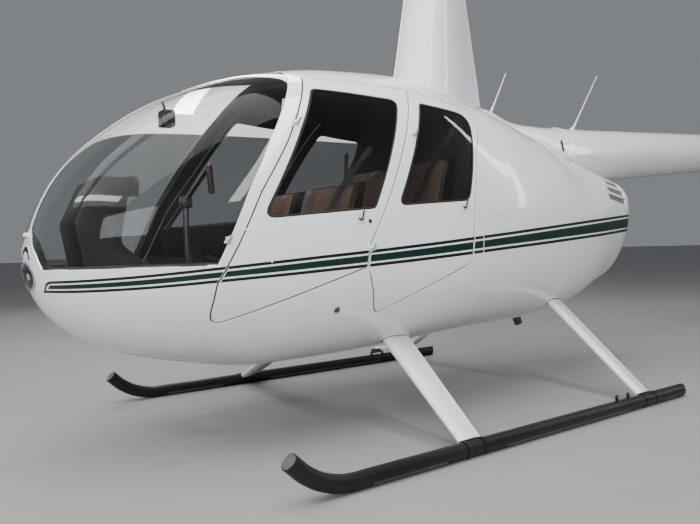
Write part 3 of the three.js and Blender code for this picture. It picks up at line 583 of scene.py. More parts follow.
def isInside(points, outline):
    x, y = points[:, 0], points[:, 1]
    inside = np.zeros(len(points), bool)
    for (x0, y0), (x1, y1) in zip(outline, np.roll(outline, -1, 0)):
        crosses = (y0 > y) != (y1 > y)
        inside ^= crosses & (x < (x1 - x0) * (y - y0) / (y1 - y0 + 1e-15) + x0)
    return inside


def sideLine(points, closed=True, step=0.012):
    # A line in the side view laid on the port skin's map, its corners kept
    points = [np.array(p, float) for p in points]
    pairs = list(zip(points, points[1:] + points[:1] if closed else points[1:]))
    line = [a + (b - a) * k / n for a, b in pairs
            for n in [max(1, math.ceil(np.linalg.norm(b - a) / step))] for k in range(n)]
    line = np.array(line if closed else line + [points[-1]])
    for _ in range(7):
        flat = toMap(angleAt(line[:, 0]), sideAround(line[:, 0], line[:, 1]))
        far = stepsOf(flat) > 2 * step
        if not far.any():
            break
        line = np.insert(line, np.nonzero(far)[0] + 1, ((line[1:] + line[:-1]) / 2)[far], axis=0)
    keep = np.concatenate([[True], stepsOf(flat) > 0.0008])
    return flat[keep]


def frontLine(points):
    # A line seen from ahead, as x and z, laid on the port skin's map
    x, z = evenly(np.array(points, float), 0.012).T
    angle = noseAngle(x, z)
    return angle, toMap(angle, sideAroundAt(angle, z))


def sideAroundAt(angle, z):
    return sideAround(hull["length"] * (1 - np.cos(angle)) / 2 - hull["noseAhead"], z)


# Panel outlines in the side view: y, z and the radius at the corner
outlines = {
    "frontDoor": [(-1.752, 0.583, 0.08), (-1.018, 0.812, 0.012), (-1.003, 0.916, 0.04), (-0.909, 1.078, 0.06),
                  (-0.575, 1.722, 0.02), (-1.163, 1.73, 0.03), (-1.373, 1.381, 0.2), (-1.53, 1.15, 0.2),
                  (-1.638, 0.935, 0.15), (-1.73, 0.767, 0.06)],
    "rearDoor": [(-1.01, 0.812, 0.008), (-0.935, 0.583, 0.045), (-0.318, 0.812, 0.06), (-0.282, 1.141, 0.3),
                 (-0.208, 1.414, 0.2), (-0.05, 1.66, 0.03), (-0.359, 1.691, 0.2), (-0.568, 1.72, 0.02),
                 (-0.902, 1.078, 0.06), (-0.996, 0.916, 0.04)],
    "frontWindow": [(-1.525, 1.04, 0.03), (-0.962, 1.09, 0.025), (-0.69, 1.642, 0.03), (-1.16, 1.657, 0.04)],
    "rearWindow": [(-0.814, 1.106, 0.025), (-0.33, 1.142, 0.055), (-0.18, 1.616, 0.07),
                   (-0.537, 1.643, 0.03)],
    "windshield": [(-2.4, 0.845, 0), (-1.728, 0.845, 0.015), (-1.667, 0.97, 0.2), (-1.58, 1.155, 0.3),
                   (-1.455, 1.375, 0.3), (-1.265, 1.67, 0.1), (-1.19, 1.8, 0), (-1.19, 2.0, 0),
                   (-2.4, 2.0, 0)],
    "doorSeam": [(-1.018, 0.812), (-1.003, 0.916), (-0.909, 1.078), (-0.575, 1.722),
                 (-0.568, 1.72), (-0.902, 1.078), (-0.996, 0.916), (-1.01, 0.812)],
}
cabinBack = [(-0.23, 0.3), (-0.23, 1.1), (0.02, 1.72), (0.02, 1.95)]
# Strip between the windshield halves, seen from ahead: x, z
noseStrip = [(0.19, 0.8), (0.19, 0.84), (0.14, 0.918), (0.078, 0.97), (0.022, 1.02)]
stripWide = 0.022
louvre = {"rows": 3, "low": 1.206, "pitch": 0.057, "tall": 0.043, "drop": 0.034, "front": 1.322,
          "frontStep": 0.044, "back": 1.612, "backStep": 0.003, "deep": 0.014}

# Side stripe: y, height of the middle band, its half width, white gap, outer line
stripe = {
    "rows": [(-2.3, 0.7768, 0.008, 0.0056, 0.0105), (-2.05, 0.7863, 0.0098, 0.0069, 0.0112),
             (-1.72, 0.8075, 0.0113, 0.0079, 0.0124), (-1.32, 0.8336, 0.0146, 0.008, 0.0137),
             (-1.0, 0.8543, 0.0161, 0.008, 0.0148), (-0.63, 0.879, 0.0181, 0.0084, 0.0156),
             (-0.18, 0.9125, 0.0198, 0.0098, 0.0164), (0.425, 0.9558, 0.025, 0.0102, 0.0175),
             (1.09, 1.004, 0.0304, 0.0106, 0.0178), (1.474, 1.0307, 0.0326, 0.0106, 0.0175),
             (1.84, 1.0564, 0.0338, 0.0105, 0.017)],
    "start": -2.297, "end": 1.848, "lineCorner": 0.01, "bandCorner": 0.006, "cornerTall": 1.8,
}


def stripeOutline(layer):
    # layer 0: the outer lines' outside; 1: their inside; 2: the middle band
    rows = np.array(stripe["rows"])
    curves = [monotone(rows[:, 0], rows[:, k]) for k in range(1, 5)]
    start = stripe["start"] + (0, 0.004, 0.0085)[layer]
    ys = np.linspace(start, stripe["end"], 150)
    middle, half, gap, line = (curve(ys) for curve in curves)
    reach = half + (gap + line if layer == 0 else gap if layer == 1 else 0)
    top = list(zip(ys, middle + reach))
    bottom = list(zip(ys, middle - reach))
    corner = min(stripe["lineCorner"] if layer < 2 else stripe["bandCorner"], 1.6 * reach[0])
    tall = corner * stripe["cornerTall"]
    lead = [(ys[0] + corner * (1 - math.cos(t)), top[0][1] - tall * (1 - math.sin(t)))
            for t in np.linspace(0, math.pi / 2, 6)]
    top = [p for p in top if p[0] > ys[0] + corner]
    return np.array(lead + top + bottom[::-1])


def louvreOutline(row):
    low = louvre["low"] + louvre["pitch"] * row
    front = louvre["front"] + louvre["frontStep"] * row
    back = louvre["back"] + louvre["backStep"] * row
    drop = louvre["drop"]
    return rounded([(front, low, 0.006), (back, low - drop, 0.006),
                    (back, low - drop + louvre["tall"], 0.006), (front, low + louvre["tall"], 0.006)], 3)


def cutSkin():
    # The port skin's flat map triangulated with every outline in it, and each triangle's region
    shapes = {name: rounded(rows) if len(rows[0]) > 2 else np.array(rows) for name, rows in outlines.items()}
    bands = [stripeOutline(layer) for layer in range(3)]
    slots = [louvreOutline(row) for row in range(louvre["rows"])]
    windshieldEdge = [p for p in shapes["windshield"] if -2.35 < p[0] and p[1] < 1.81]
    windshieldEdge = [(-2.325, 0.845), *windshieldEdge, (-1.19, 1.83)]
    lines = [(sideLine(shapes[name]), True)
             for name in ("frontDoor", "rearDoor", "frontWindow", "rearWindow")]
    lines += [(sideLine(band, step=0.02), True) for band in bands]
    lines += [(sideLine(slot), True) for slot in slots]
    lines.append((sideLine(windshieldEdge, closed=False), False))
    lines.append((sideLine(cabinBack, closed=False), False))
    stripAngle, stripFlat = frontLine(noseStrip[1:])
    angles = np.linspace(stripAngle[-1], float(angleAt(-1.15)), 90)[1:]
    half = sectionCurves[3](angles)
    over = sectionCurves[4](angles)
    bow = toMap(angles, np.arccos((stripWide / half) ** (over / 2)))
    lines.append((np.concatenate([stripFlat, bow]), False))

    # Rings of points at even spacing
    total = mapAlong[-1]
    grid, edgeLow, edgeHigh = [np.array([[0.0, 0.0]])], [0], []
    count = 1
    for along in np.linspace(0, total, int(total / hull["spacing"]) + 1)[1:-1]:
        angle = float(np.interp(along, mapAlong, mapAngles))
        ring = hullPoint(angle, roundGrid)
        girth = farAlong(ring)
        steps = max(4, int(girth[-1] / hull["spacing"]))
        around = np.interp(np.linspace(0, girth[-1], steps + 1), girth, roundGrid)
        grid.append(toMap(np.full(steps + 1, angle), around))
        edgeLow.append(count)
        edgeHigh.append(count + steps)
        count += steps + 1
    grid.append(np.array([[total, 0.0]]))
    edgeLow.append(count)
    grid = np.concatenate(grid)
    edge = edgeLow + edgeHigh[::-1]
    pinned = np.concatenate([line for line, _ in lines])
    isEdge = np.zeros(len(grid), bool)
    isEdge[edge] = True
    keep = isEdge | farFrom(grid, pinned, 0.35 * hull["spacing"])
    renumber = np.cumsum(keep) - 1
    points = [grid[keep]]
    start = int(keep.sum())
    edge = [int(renumber[i]) for i in edge]
    edges = list(zip(edge, edge[1:] + edge[:1]))
    for line, closed in lines:
        ids = list(range(start, start + len(line)))
        edges += list(zip(ids, ids[1:]))
        if closed:
            edges.append((ids[-1], ids[0]))
        points.append(line)
        start += len(line)
    flat = np.concatenate(points)
    result = delaunay_2d_cdt([Vector(p) for p in flat], edges, [], 0, 1e-6)
    flat = np.array([tuple(v) for v in result[0]])
    triangles = np.array([tuple(f) for f in result[2]])
    middle = flat[triangles].mean(1)
    girth = np.interp(middle[:, 0], mapAlong, halfGirth)
    triangles = triangles[np.abs(middle[:, 1]) < girth / 2 - 1e-5]
    middle = flat[triangles].mean(1)
    angle, around = fromMap(middle)
    centre = hullPoint(angle, around)
    side, front = centre[:, 1:], centre[:, [0, 2]]
    strip = np.concatenate([noseStrip, [(stripWide, 2.0), (0, 2.0), (0, 0.8)]])
    behind = np.array(cabinBack + [(3, 1.95), (3, 0.3)])
    inStrip = isInside(front, strip) & (side[:, 0] < -0.9)
    region = np.where(isInside(side, behind), "aft", "cabin").astype("<U12")
    region[isInside(side, shapes["windshield"]) & ~inStrip] = "windshield"
    for name in ("doorSeam", "frontDoor", "rearDoor", "frontWindow", "rearWindow"):
        region[isInside(side, shapes[name])] = name
    for slot in slots:
        region[isInside(side, slot)] = "louvre"
    tone = np.zeros(len(triangles), int)
    tone[isInside(side, bands[0]) & ~isInside(side, bands[1])] = 1
    tone[isInside(side, bands[2])] = 2
    angle, around = fromMap(flat)
    a, b, c = hullPoint(angle, around)[triangles.T]
    area = np.cross(b - a, c - a)
    facing = np.sum(area * hullNormal(angle, around)[triangles[:, 0]], 1) < 0
    triangles[facing] = triangles[facing][:, ::-1]
    return angle, around, triangles, region, tone


def farFrom(points, others, gap):
    # True for points with none of the others nearer than gap
    cells = {}
    for i, (a, b) in enumerate(others):
        cells.setdefault((int(a // gap), int(b // gap)), []).append(i)
    clear = np.ones(len(points), bool)
    for i, (a, b) in enumerate(points):
        ca, cb = int(a // gap), int(b // gap)
        near = [k for da in (-1, 0, 1) for db in (-1, 0, 1) for k in cells.get((ca + da, cb + db), ())]
        if near and np.min(np.linalg.norm(others[near] - points[i], axis=1)) < gap:
            clear[i] = False
    return clear


skinAngle, skinAround, skinFaces, skinRegion, skinTone = cutSkin()
print("skin cut into", len(np.unique(skinRegion)), "regions,", len(skinFaces), "triangles")

# Panels: a region of the skin given thickness, its edges turned in

toneFinish = ["whitePaint", "darkPaint", "greenPaint"]
# inset: how deep the panel's face lies below the body's skin; thin: thickness lost along the nose
panelSpec = {
    "cabin": {"thick": 0.035, "gap": 0.0, "edge": 0.0025, "inset": 0.0, "thin": 0.023},
    "aft": {"thick": 0.02, "gap": 0.0006, "edge": 0.0015, "inset": 0.0},
    "door": {"thick": 0.034, "gap": 0.0062, "edge": 0.003, "inset": 0.0},
    "windshield": {"thick": 0.005, "gap": 0.0006, "edge": 0.0008, "inset": 0.0012},
    "pane": {"thick": 0.0035, "gap": 0.0006, "edge": 0.0006, "inset": 0.004},
}
# Near the seam between two doors the gap closes: gap there, how far it stays so, over how far it opens
doorSeam = {"gap": 0.0006, "near": 0.012, "blend": 0.02}
rimTurn = np.linspace(0, math.pi / 2, 4)

# Edges of the openings for glass, where the thickness of the frame is lined dark
glassEdges = {(a, b)
              for face in skinFaces[np.isin(skinRegion, ["windshield", "frontWindow", "rearWindow"])].tolist()
              for a, b in zip(face, face[1:] + face[:1])}


def skinPanel(regions, thick, gap, edge, inset, whole=False, outer=None, inner="lining", gapAt=None,
              thin=None):
    chosen = np.isin(skinRegion, regions)
    tones = skinTone[chosen]
    used, faces = np.unique(skinFaces[chosen], return_inverse=True)
    faces = faces.reshape(-1, 3)
    angle, around = skinAngle[used].copy(), skinAround[used].copy()
    count = len(used)
    directed = np.concatenate([faces[:, [0, 1]], faces[:, [1, 2]], faces[:, [2, 0]]])
    rim = directed[~np.isin(directed[:, 0] * count + directed[:, 1], directed[:, 1] * count + directed[:, 0])]
    centred = (np.abs(around) > math.pi / 2 - 1e-6) | (angle < 1e-6) | (angle > math.pi - 1e-6)
    if whole:
        rim = rim[~(centred[rim[:, 0]] & centred[rim[:, 1]])]
    follows = {int(a): int(b) for a, b in rim}
    leads = {int(b): int(a) for a, b in rim}
    border = np.array(sorted(set(follows) | set(leads)))
    at = hullPoint(angle, around)
    out = hullNormal(angle, around)
    into = np.zeros((len(border), 3))
    reach = np.ones(len(border))
    for i, v in enumerate(border):
        ahead = at[follows[v]] - at[v] if v in follows else None
        back = at[v] - at[leads[v]] if v in leads else None
        if ahead is None or back is None:
            step = ahead if back is None else back
            along = np.array([np.sign(step[0]), 0, 0]) if whole and centred[v] else unit(step)
        else:
            ahead, back = unit(ahead), unit(back)
            along = (ahead + back) / max(np.linalg.norm(ahead + back), 1e-9)
            reach[i] = 1 / max(0.55, float(ahead @ along))
        into[i] = np.cross(out[v], along)
    into = units(into)
    gaps = gap if gapAt is None else gapAt(at[border])
    placed = at[border] + into * ((gaps + edge) * reach)[:, None]
    newAngle, newAround = nearestParam(placed)
    held = centred[border] & whole
    newAround[held] = around[border][held]
    angle[border], around[border] = newAngle, newAround
    surface = hullPoint(angle, around, inset)
    out = hullNormal(angle, around)
    if whole:
        surface[centred, 0] = 0
        out[centred, 0] = 0
        out = units(out)
        into[held, 0] = 0
    rings, ringNormals = [], []
    for turn in rimTurn[1:]:
        rings.append(surface[border] - into * edge * math.sin(turn)
                     - out[border] * edge * (1 - math.cos(turn)))
        ringNormals.append(out[border] * math.cos(turn) - into * math.sin(turn))
    if thin is not None:     # near the middle of the nose, between the windshield halves
        thick = thick - (thin * np.clip((0.1 - at[:, 0]) / 0.06, 0, 1)
                         * np.clip((-1.3 - at[:, 1]) / 0.25, 0, 1))
    under = hullPoint(angle, around, inset + thick)
    deepAngle, deepAround = nearestParam(hullPoint(angle[border], around[border]) - into * edge)
    deepAround[held] = newAround[held]
    under[border] = hullPoint(deepAngle, deepAround, inset + (thick if thin is None else thick[border]))
    if whole:
        under[centred, 0] = 0
    points = np.concatenate([surface] + rings + [under])
    slot = {int(v): i for i, v in enumerate(border)}
    many = len(border)
    rows = [lambda v: v] + [lambda v, r=r: count + r * many + slot[v] for r in range(len(rings))]
    rows.append(lambda v: count + len(rings) * many + v)
    rowNormals = [lambda v: out[v]] + [lambda v, r=r: ringNormals[r][slot[v]] for r in range(len(rings))]
    allFaces, normals, finish = [], [], []
    for face, tone in zip(faces.tolist(), tones):
        allFaces.append(tuple(face))
        normals += [out[v] for v in face]
        finish.append(outer or toneFinish[tone])
    for a, b in rim.tolist():
        for r in range(len(rows) - 1):
            allFaces.append((rows[r](b), rows[r](a), rows[r + 1](a), rows[r + 1](b)))
            last = r == len(rows) - 2
            near, far = rowNormals[r], rowNormals[r] if last else rowNormals[r + 1]
            normals += [near(b), near(a), far(a), far(b)]
            dark = last and (int(used[b]), int(used[a])) in glassEdges
            finish.append(inner if dark else outer or "whitePaint")
    base = count + len(rings) * many
    for face in faces.tolist():
        allFaces.append(tuple(base + v for v in face[::-1]))
        normals += [-out[v] for v in face[::-1]]
        finish.append(inner)
    if whole:
        total = len(points)
        middle = np.zeros(total, bool)
        middle[:count] = centred
        middle[base:] = centred
        mirror = np.where(middle, np.arange(total), total + np.cumsum(~middle) - 1)
        points = np.concatenate([points, points[~middle] * (-1, 1, 1)])
        more, moreNormals, k = [], [], 0
        for face in allFaces:
            size = len(face)
            more.append(tuple(int(mirror[v]) for v in face[::-1]))
            moreNormals += [n * (-1, 1, 1) for n in normals[k:k + size][::-1]]
            k += size
        allFaces += more
        normals += moreNormals
        finish += finish
    return finish, (points, allFaces), normals


def mirroredPart(part):
    finish, (points, faces), normals = part
    if normals is not None:
        swapped, k = [], 0
        for face in faces:
            swapped += [np.asarray(n) * (-1, 1, 1) for n in normals[k:k + len(face)][::-1]]
            k += len(face)
        normals = swapped
    return finish, flipped((points, faces)), normals


def withNormals(parts):
    return [part if len(part) == 3 else (*part, None) for part in parts]


def makePiece(name, body, parts, replaces=(), angle=32):
    # parts: finish, or one finish per face; the shape; and its corner normals if it has its own
    parts = withNormals(parts)
    mesh = bpy.data.meshes.new(name)
    points, faces = merged(*[part for _, part, _ in parts])
    mesh.from_pydata((points + (0, mastAt, 0)).tolist(), [], faces)
    perFace = [f for finish, part, _ in parts
               for f in (finish if isinstance(finish, list) else [finish] * len(part[1]))]
    names = list(dict.fromkeys(perFace))
    for finish in names:
        mesh.materials.append(finishes[finish])
    mesh.polygons.foreach_set("material_index", [names.index(f) for f in perFace])
    mesh.polygons.foreach_set("use_smooth", [True] * len(faces))
    mesh.set_sharp_from_angle(angle=math.radians(angle))
    if any(normals is not None for _, _, normals in parts):
        corners = []
        for _, part, normals in parts:
            corners += ([tuple(n) for n in normals] if normals is not None
                        else [(0, 0, 0)] * sum(map(len, part[1])))
        mesh.normals_split_custom_set(corners)
    mesh.update()
    piece = placed(name, mesh)
    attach(piece, body)
    if replaces:
        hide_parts(*replaces)
    return piece


def onSkin(y, z, inset=0.0):
    y, z = np.asarray(y, float), np.asarray(z, float)
    return hullPoint(angleAt(y), sideAround(y, z), inset)


def onSkinTop(y, inset=0.0):
    return hullPoint(angleAt(y), math.pi / 2, inset)


def skinNormal(y, z):
    y, z = np.atleast_1d(np.asarray(y, float)), np.atleast_1d(np.asarray(z, float))
    return hullNormal(angleAt(y), sideAround(y, z))


def insetRows(rows, distance):
    # An outline's rows moved inwards by the same distance all round; its inside is on the left of its line
    corners = np.array([row[:2] for row in rows], float)
    after, before = np.roll(corners, -1, 0) - corners, corners - np.roll(corners, 1, 0)
    inward = [units(np.stack([-v[:, 1], v[:, 0]], -1)) for v in (before, after)]
    moved = corners + (inward[0] + inward[1]) * distance / (1 + np.sum(inward[0] * inward[1], 1))[:, None]
    return [(y, z, *row[2:]) for (y, z), row in zip(moved, rows)]


def skinLoop(rows, inset, closed):
    # A rounded outline as points on the port skin, with its normals
    step = 0.008
    flat = sideLine(rounded(rows) if len(rows[0]) > 2 else rows, closed, step)
    flat = evenly(np.concatenate([flat, flat[:1]]) if closed else flat, step)
    if closed:
        flat = flat[:-1]
    angle, around = fromMap(flat)
    return hullPoint(angle, around, inset), hullNormal(angle, around)


def bothSides(name, bodyOf, parts, replacesOf=()):
    for side, sign in (("port", 1), ("starboard", -1)):
        made = parts if sign > 0 else [mirroredPart(part) for part in withNormals(parts)]
        makePiece(f"{name}_{side}", bodyOf if bodyOf == "root" else f"{side}_{bodyOf}", made,
                  [f"{node}_{side}" for node in replacesOf])


def doorGapAt(other):
    # Doors stand a full gap from the frame, and close to the strip that lies between the two doors
    edge = evenly(np.array(other), 0.005)

    def gap(points):
        near = np.min(np.linalg.norm(points[:, None, 1:] - edge[None], axis=2), axis=1)
        share = np.clip((near - doorSeam["near"]) / doorSeam["blend"], 0, 1)
        return doorSeam["gap"] + (panelSpec["door"]["gap"] - doorSeam["gap"]) * share
    return gap


seamAft = outlines["doorSeam"][4:]
seamAhead = outlines["doorSeam"][:4]

makePiece("cabin_shell", "root", [skinPanel(["cabin"], whole=True, **panelSpec["cabin"])],
          ("lower_tub", "cabin_frame"))
makePiece("engine_cowl", "root", [skinPanel(["aft"], whole=True, **panelSpec["aft"])], ("aft_body",))
# Recessed panels closing the louvre slots, painted dark grey: painted shade on top of the recess's own shade
louvreShade = skinPanel(["louvre"], 0.002, 0.0, 0.0006, louvre["deep"], outer="greyPaint", inner="greyPaint")
makePiece("louvre_panels", "root", [louvreShade, mirroredPart(louvreShade)])

doorSkins = {row: skinPanel([f"{row}Door"], gapAt=doorGapAt(seam), **panelSpec["door"])
             for row, seam in (("front", seamAft), ("rear", seamAhead))}
print("panels made")


# Glass

bothSides("windshield_glass", "root",
          [skinPanel(["windshield"], outer="clearAcrylic", inner="clearAcrylic", **panelSpec["windshield"])],
          ("windshield",))
for row in ("front", "rear"):
    bothSides(f"{row}_door_glass", f"{row}_door",
              [skinPanel([f"{row}Window"], outer="tintedAcrylic", inner="tintedAcrylic",
                         **panelSpec["pane"])],
              (f"{row}_pane",))


# Doors: hinges at the leading edge, a latch and a lock below the window, rubber round the pane

doorTrim = {
    "hinges": {"front": ((0.59, -1.717, 0.9), (0.57, -1.301, 1.5), (0.95, 1.465)),
               "rear": ((0.665, -1.022, 0.86), (0.598, -0.649, 1.5), (0.905, 1.465))},
    "barrel": 0.0055, "barrelHalf": 0.019, "leafThick": 0.0016, "doorLeaf": 0.03, "frameLeaf": 0.009,
    "paneBead": 0.0042,
}


def hinge(row, high):
    # The middle of a hinge, its direction, and its barrel and pin
    low, top, _ = doorTrim["hinges"][row]
    low, top = np.array(low), np.array(top)
    up = unit(top - low)
    centre = low + up * (high - low[2]) / up[2]
    half = doorTrim["barrelHalf"]
    barrel = rod(centre - up * half, centre + up * half, doorTrim["barrel"], 16)
    pin = rod(centre - up * (half + 0.003), centre + up * (half + 0.003), 0.0028, 12)
    return centre, up, merged(barrel, pin)


def leaf(row, high, way):
    # A leaf that lies on the skin, aft of the barrel (way 1, door) or ahead of it (way -1, frame)
    centre, up, _ = hinge(row, high)
    half = doorTrim["barrelHalf"]
    deep = doorTrim["doorLeaf" if way > 0 else "frameLeaf"]
    rows = []
    for share in np.linspace(0, 1, 7):
        for end in (-half, half):
            tall = end * (1 - 0.25 * share)
            rows.append((centre[1] + way * (0.002 + share * deep) + up[1] * tall, centre[2] + up[2] * tall))
    rows = np.array(rows)
    top, bottom = (onSkin(rows[:, 0], rows[:, 1], -doorTrim["leafThick"]),
                   onSkin(rows[:, 0], rows[:, 1], 0.0006))
    rings = [np.array([top[2 * i], top[2 * i + 1], bottom[2 * i + 1], bottom[2 * i]]) for i in range(7)]
    screwAt = rows[:, 0].mean() + way * 0.002
    places = [onSkin(screwAt, centre[2] + dz, -doorTrim["leafThick"]) for dz in (-0.009, 0.009)]
    normals = skinNormal([screwAt] * 2, [centre[2]] * 2)
    bridge = rod(centre, onSkin(centre[1] + way * 0.006, centre[2]), 0.004, 10)
    return merged(loft(rings), bridge, domes(places, normals, 0.0032, 0.0012))


def latch(y, z):
    # Lever of the door latch, a small dark hook standing up beside its pivot
    foot, out = onSkin(y, z), skinNormal(y, z)[0]
    stem = smoothLine([foot + out * 0.01, foot + out * 0.014 + (0, 0.002, 0.016),
                       foot + out * 0.014 + (0, 0.004, 0.03), foot + out * 0.012 + (0, 0.012, 0.036)],
                      0.004)
    hook = smoothLine([foot + out * 0.01, foot + out * 0.013 + (0, -0.012, -0.004),
                       foot + out * 0.012 + (0, -0.022, 0.004)], 0.004)
    return [("darkSteel", merged(tube(stem, 0.0056, 10, flat=0.7), tube(hook, 0.0042, 10))),
            ("aluminium", rod(foot - out * 0.002, foot + out * 0.012, 0.008, 20))]


def lock(y, z):
    foot, out = onSkin(y, z), skinNormal(y, z)[0]
    slot = rod(foot + out * 0.0042 - (0, 0, 0.005), foot + out * 0.0042 + (0, 0, 0.005), 0.0011, 8)
    return [("darkSteel", rod(foot - out * 0.002, foot + out * 0.0045, 0.0095, 24)), ("rubber", slot)]


def skinBead(rows, radius, inset=0.0, flat=0.6, closed=False):
    places, out = skinLoop(rows, inset, closed)
    return tube(places, radius, 8, closed, flat, out)


embossed = {
    "front": [(-1.653, 0.99), (-1.503, 0.9906), (-1.4597, 0.9952), (-1.4426, 0.987), (-1.4353, 0.9724),
              (-1.4423, 0.9514), (-1.4646, 0.9097), (-1.4899, 0.8669), (-1.5, 0.85)],
    "rear": [(-0.9, 0.9), (-0.855, 0.937), (-0.819, 1.052), (-0.8, 1.0625), (-0.716, 1.066)],
}

for row, skin in doorSkins.items():
    parts = [skin]
    for high in doorTrim["hinges"][row][2]:
        parts.append(("aluminium", hinge(row, high)[2]))
        parts.append(("whitePaint", leaf(row, high, 1)))
    bead = skinBead(outlines[f"{row}Window"], doorTrim["paneBead"], 0.003, 0.8, closed=True)
    parts.append(("rubber", bead))
    parts.append(("whitePaint", skinBead(embossed[row], 0.0042, 0.0008, 0.4)))
    parts += latch(*{"front": (-1.048, 1.035), "rear": (-0.373, 1.101)}[row])
    if row == "front":
        parts += lock(-1.0, 1.026)
    bothSides(f"{row}_door_shell", f"{row}_door", parts, (f"{row}_door",))

# Frame side of the hinges, and the rubber seals in the door openings
frameLeaves = merged(*[leaf(row, high, -1) for row in ("front", "rear")
                       for high in doorTrim["hinges"][row][2]])
makePiece("hinge_leaves", "root", paired([("whitePaint", frameLeaves)]))
seals = merged(*[skinBead(insetRows(outlines[f"{row}Door"], 0.003), 0.003, deep, 1.0, closed=True)
                 for row in ("front", "rear") for deep in (0.0065, 0.03)])
makePiece("door_seals", "root", paired([("rubber", seals)]))
print("doors hung")

# Mast fairing, upper cowl and tail cone

def wingShape(t):
    return 2.6 * (np.sqrt(t) - t) * (1 - 0.25 * t) / 0.585


def airfoil(front, back, half, count=28):
    # Chord position and thickness round a section, from the trailing edge over the port side and back
    t = (1 - np.cos(np.pi * np.arange(1, count) / count)) / 2
    over = half * wingShape(t)
    along = front + t * (back - front)
    lead, tail = [(front, 0.0)], [(back, 0.0015), (back, -0.0015)]
    return np.array(lead + list(zip(along, over)) + tail + list(zip(along[::-1], -over[::-1])))


def coneHigh(y):
    # Height of the tail cone's axis
    return cone["axisHigh"] + cone["climb"] * y


def hoop(radius, y, high, angles):
    # Points round an axis that runs fore and aft
    return np.stack([radius * np.cos(angles), np.full(len(angles), y), high + radius * np.sin(angles)], -1)


cone = {
    "axisHigh": 1.443, "climb": 0.0778,
    # y, radius
    "stations": [(0.9, 0.211), (1.18, 0.206), (1.5, 0.198), (2.0, 0.19), (3.4, 0.17), (5.6, 0.116)],
    "laps": [1.92, 2.66, 3.4, 4.14, 4.88], "lap": 0.0009,
    "rivets": 40, "rivetRow": 0.012, "rivetRadius": 0.0022, "sides": 72,
}
spine = {
    # y, radius, height of the axis
    "stations": [(0.02, 0.06, 1.728), (0.16, 0.095, 1.703), (0.3, 0.12, 1.69), (0.44, 0.13, 1.676),
                 (0.52, 0.135, 1.649), (0.6, 0.145, 1.612), (0.74, 0.185, 1.548), (0.9, 0.218, 1.513),
                 (1.18, 0.212, 1.5348)],
    "skin": 0.005, "seal": 0.0028,
}
mastTrim = {
    # height, leading edge, trailing edge, half thickness
    "sections": [(1.58, -0.29, 0.47, 0.19), (1.88, -0.242, 0.429, 0.172), (2.15, -0.195, 0.382, 0.155),
                 (2.5, -0.134, 0.32, 0.135), (2.85, -0.098, 0.25, 0.112), (2.96, -0.092, 0.228, 0.1)],
    "flare": 0.03, "crown": 0.012, "levels": 14,
}


def roofHigh(x, y):
    # Height of the body's top skin at a place
    top, _, wide, half, over, _ = sectionAt(angleAt(y))
    share = np.clip(np.abs(x) / np.maximum(half, 1e-6), 0, 1)
    return wide + (top - wide) * (1 - share ** over) ** (1 / over)


spineRows = np.array(spine["stations"])
spineRadius = monotone(spineRows[:, 0], spineRows[:, 1])
spineHigh = monotone(spineRows[:, 0], spineRows[:, 2])


def ridgeHigh(x, y):
    # The same with the upper cowl's ridge on it
    roof = roofHigh(x, y)
    inside = np.clip(y, spineRows[0, 0], spineRows[-1, 0])
    radius = spineRadius(inside)
    ridge = spineHigh(inside) + np.sqrt(np.maximum(radius ** 2 - x ** 2, 0))
    use = (np.abs(x) < radius) & (y > spineRows[0, 0])
    return np.where(use, np.maximum(roof, ridge), roof)


def mastFairing():
    rows = np.array(mastTrim["sections"])
    front, back, half = (monotone(rows[:, 0], rows[:, k]) for k in (1, 2, 3))

    def ringAt(z):
        return np.array([airfoil(float(front(h)), float(back(h)), float(half(h)))[i]
                         for i, h in enumerate(z)])

    count = len(airfoil(0, 1, 1))
    foot = np.full(count, 1.8)
    for _ in range(40):
        ring = ringAt(foot)
        foot = 0.5 * foot + 0.5 * (ridgeHigh(ring[:, 1], ring[:, 0]) - 0.004)
    flare, crown = mastTrim["flare"], mastTrim["crown"]
    rings = []
    for turn in np.linspace(0, math.pi / 2, 6):
        z = foot + flare * (1 - math.cos(turn))
        ring = ringAt(z)
        along = np.roll(ring, -1, 0) - np.roll(ring, 1, 0)
        out = np.stack([along[:, 1], -along[:, 0]], -1)
        out = units(out)
        middle = ring.mean(0)
        out *= np.sign(np.sum(out * (ring - middle), 1))[:, None]
        ring = ring + out * flare * 0.8 * (1 - math.sin(turn))
        rings.append(np.stack([ring[:, 1], ring[:, 0], z], -1))
    for share in np.linspace(0, 1, mastTrim["levels"])[1:]:
        z = (foot + flare) * (1 - share) + (rows[-1, 0] - crown) * share
        ring = ringAt(z)
        rings.append(np.stack([ring[:, 1], ring[:, 0], z], -1))
    last = rings[-1]
    middle = np.array([0, (rows[-1, 1] + rows[-1, 2]) / 2, 0])
    for turn in (0.35, 0.7, 1.05, 1.4):
        ring = last.copy()
        reach = np.linalg.norm((last - middle)[:, :2], axis=1)
        pull = crown * (1 - math.cos(turn)) / reach
        ring[:, :2] = last[:, :2] - (last - middle)[:, :2] * pull[:, None]
        ring[:, 2] = last[:, 2] + crown * math.sin(turn)
        rings.append(ring)
    return loft(rings)


def spineRings():
    rings, edges = [], [[], []]
    for y in np.concatenate([np.linspace(0.03, 0.7, 24), np.linspace(0.73, 1.175, 12)]):
        radius, high = float(spineRadius(y)), float(spineHigh(y))
        low, top = -1.0, math.pi / 2
        for _ in range(40):
            a = (low + top) / 2
            if high + radius * math.sin(a) < roofHigh(radius * math.cos(a), y) - 0.002:
                low = a
            else:
                top = a
        a = np.linspace(top, math.pi - top, 40)
        outer = hoop(radius, y, high, a)
        rings.append(np.concatenate([outer, hoop(radius - spine["skin"], y, high, a)[::-1]]))
        edges[0].append(outer[0])
        edges[1].append(outer[-1])
    return rings, edges


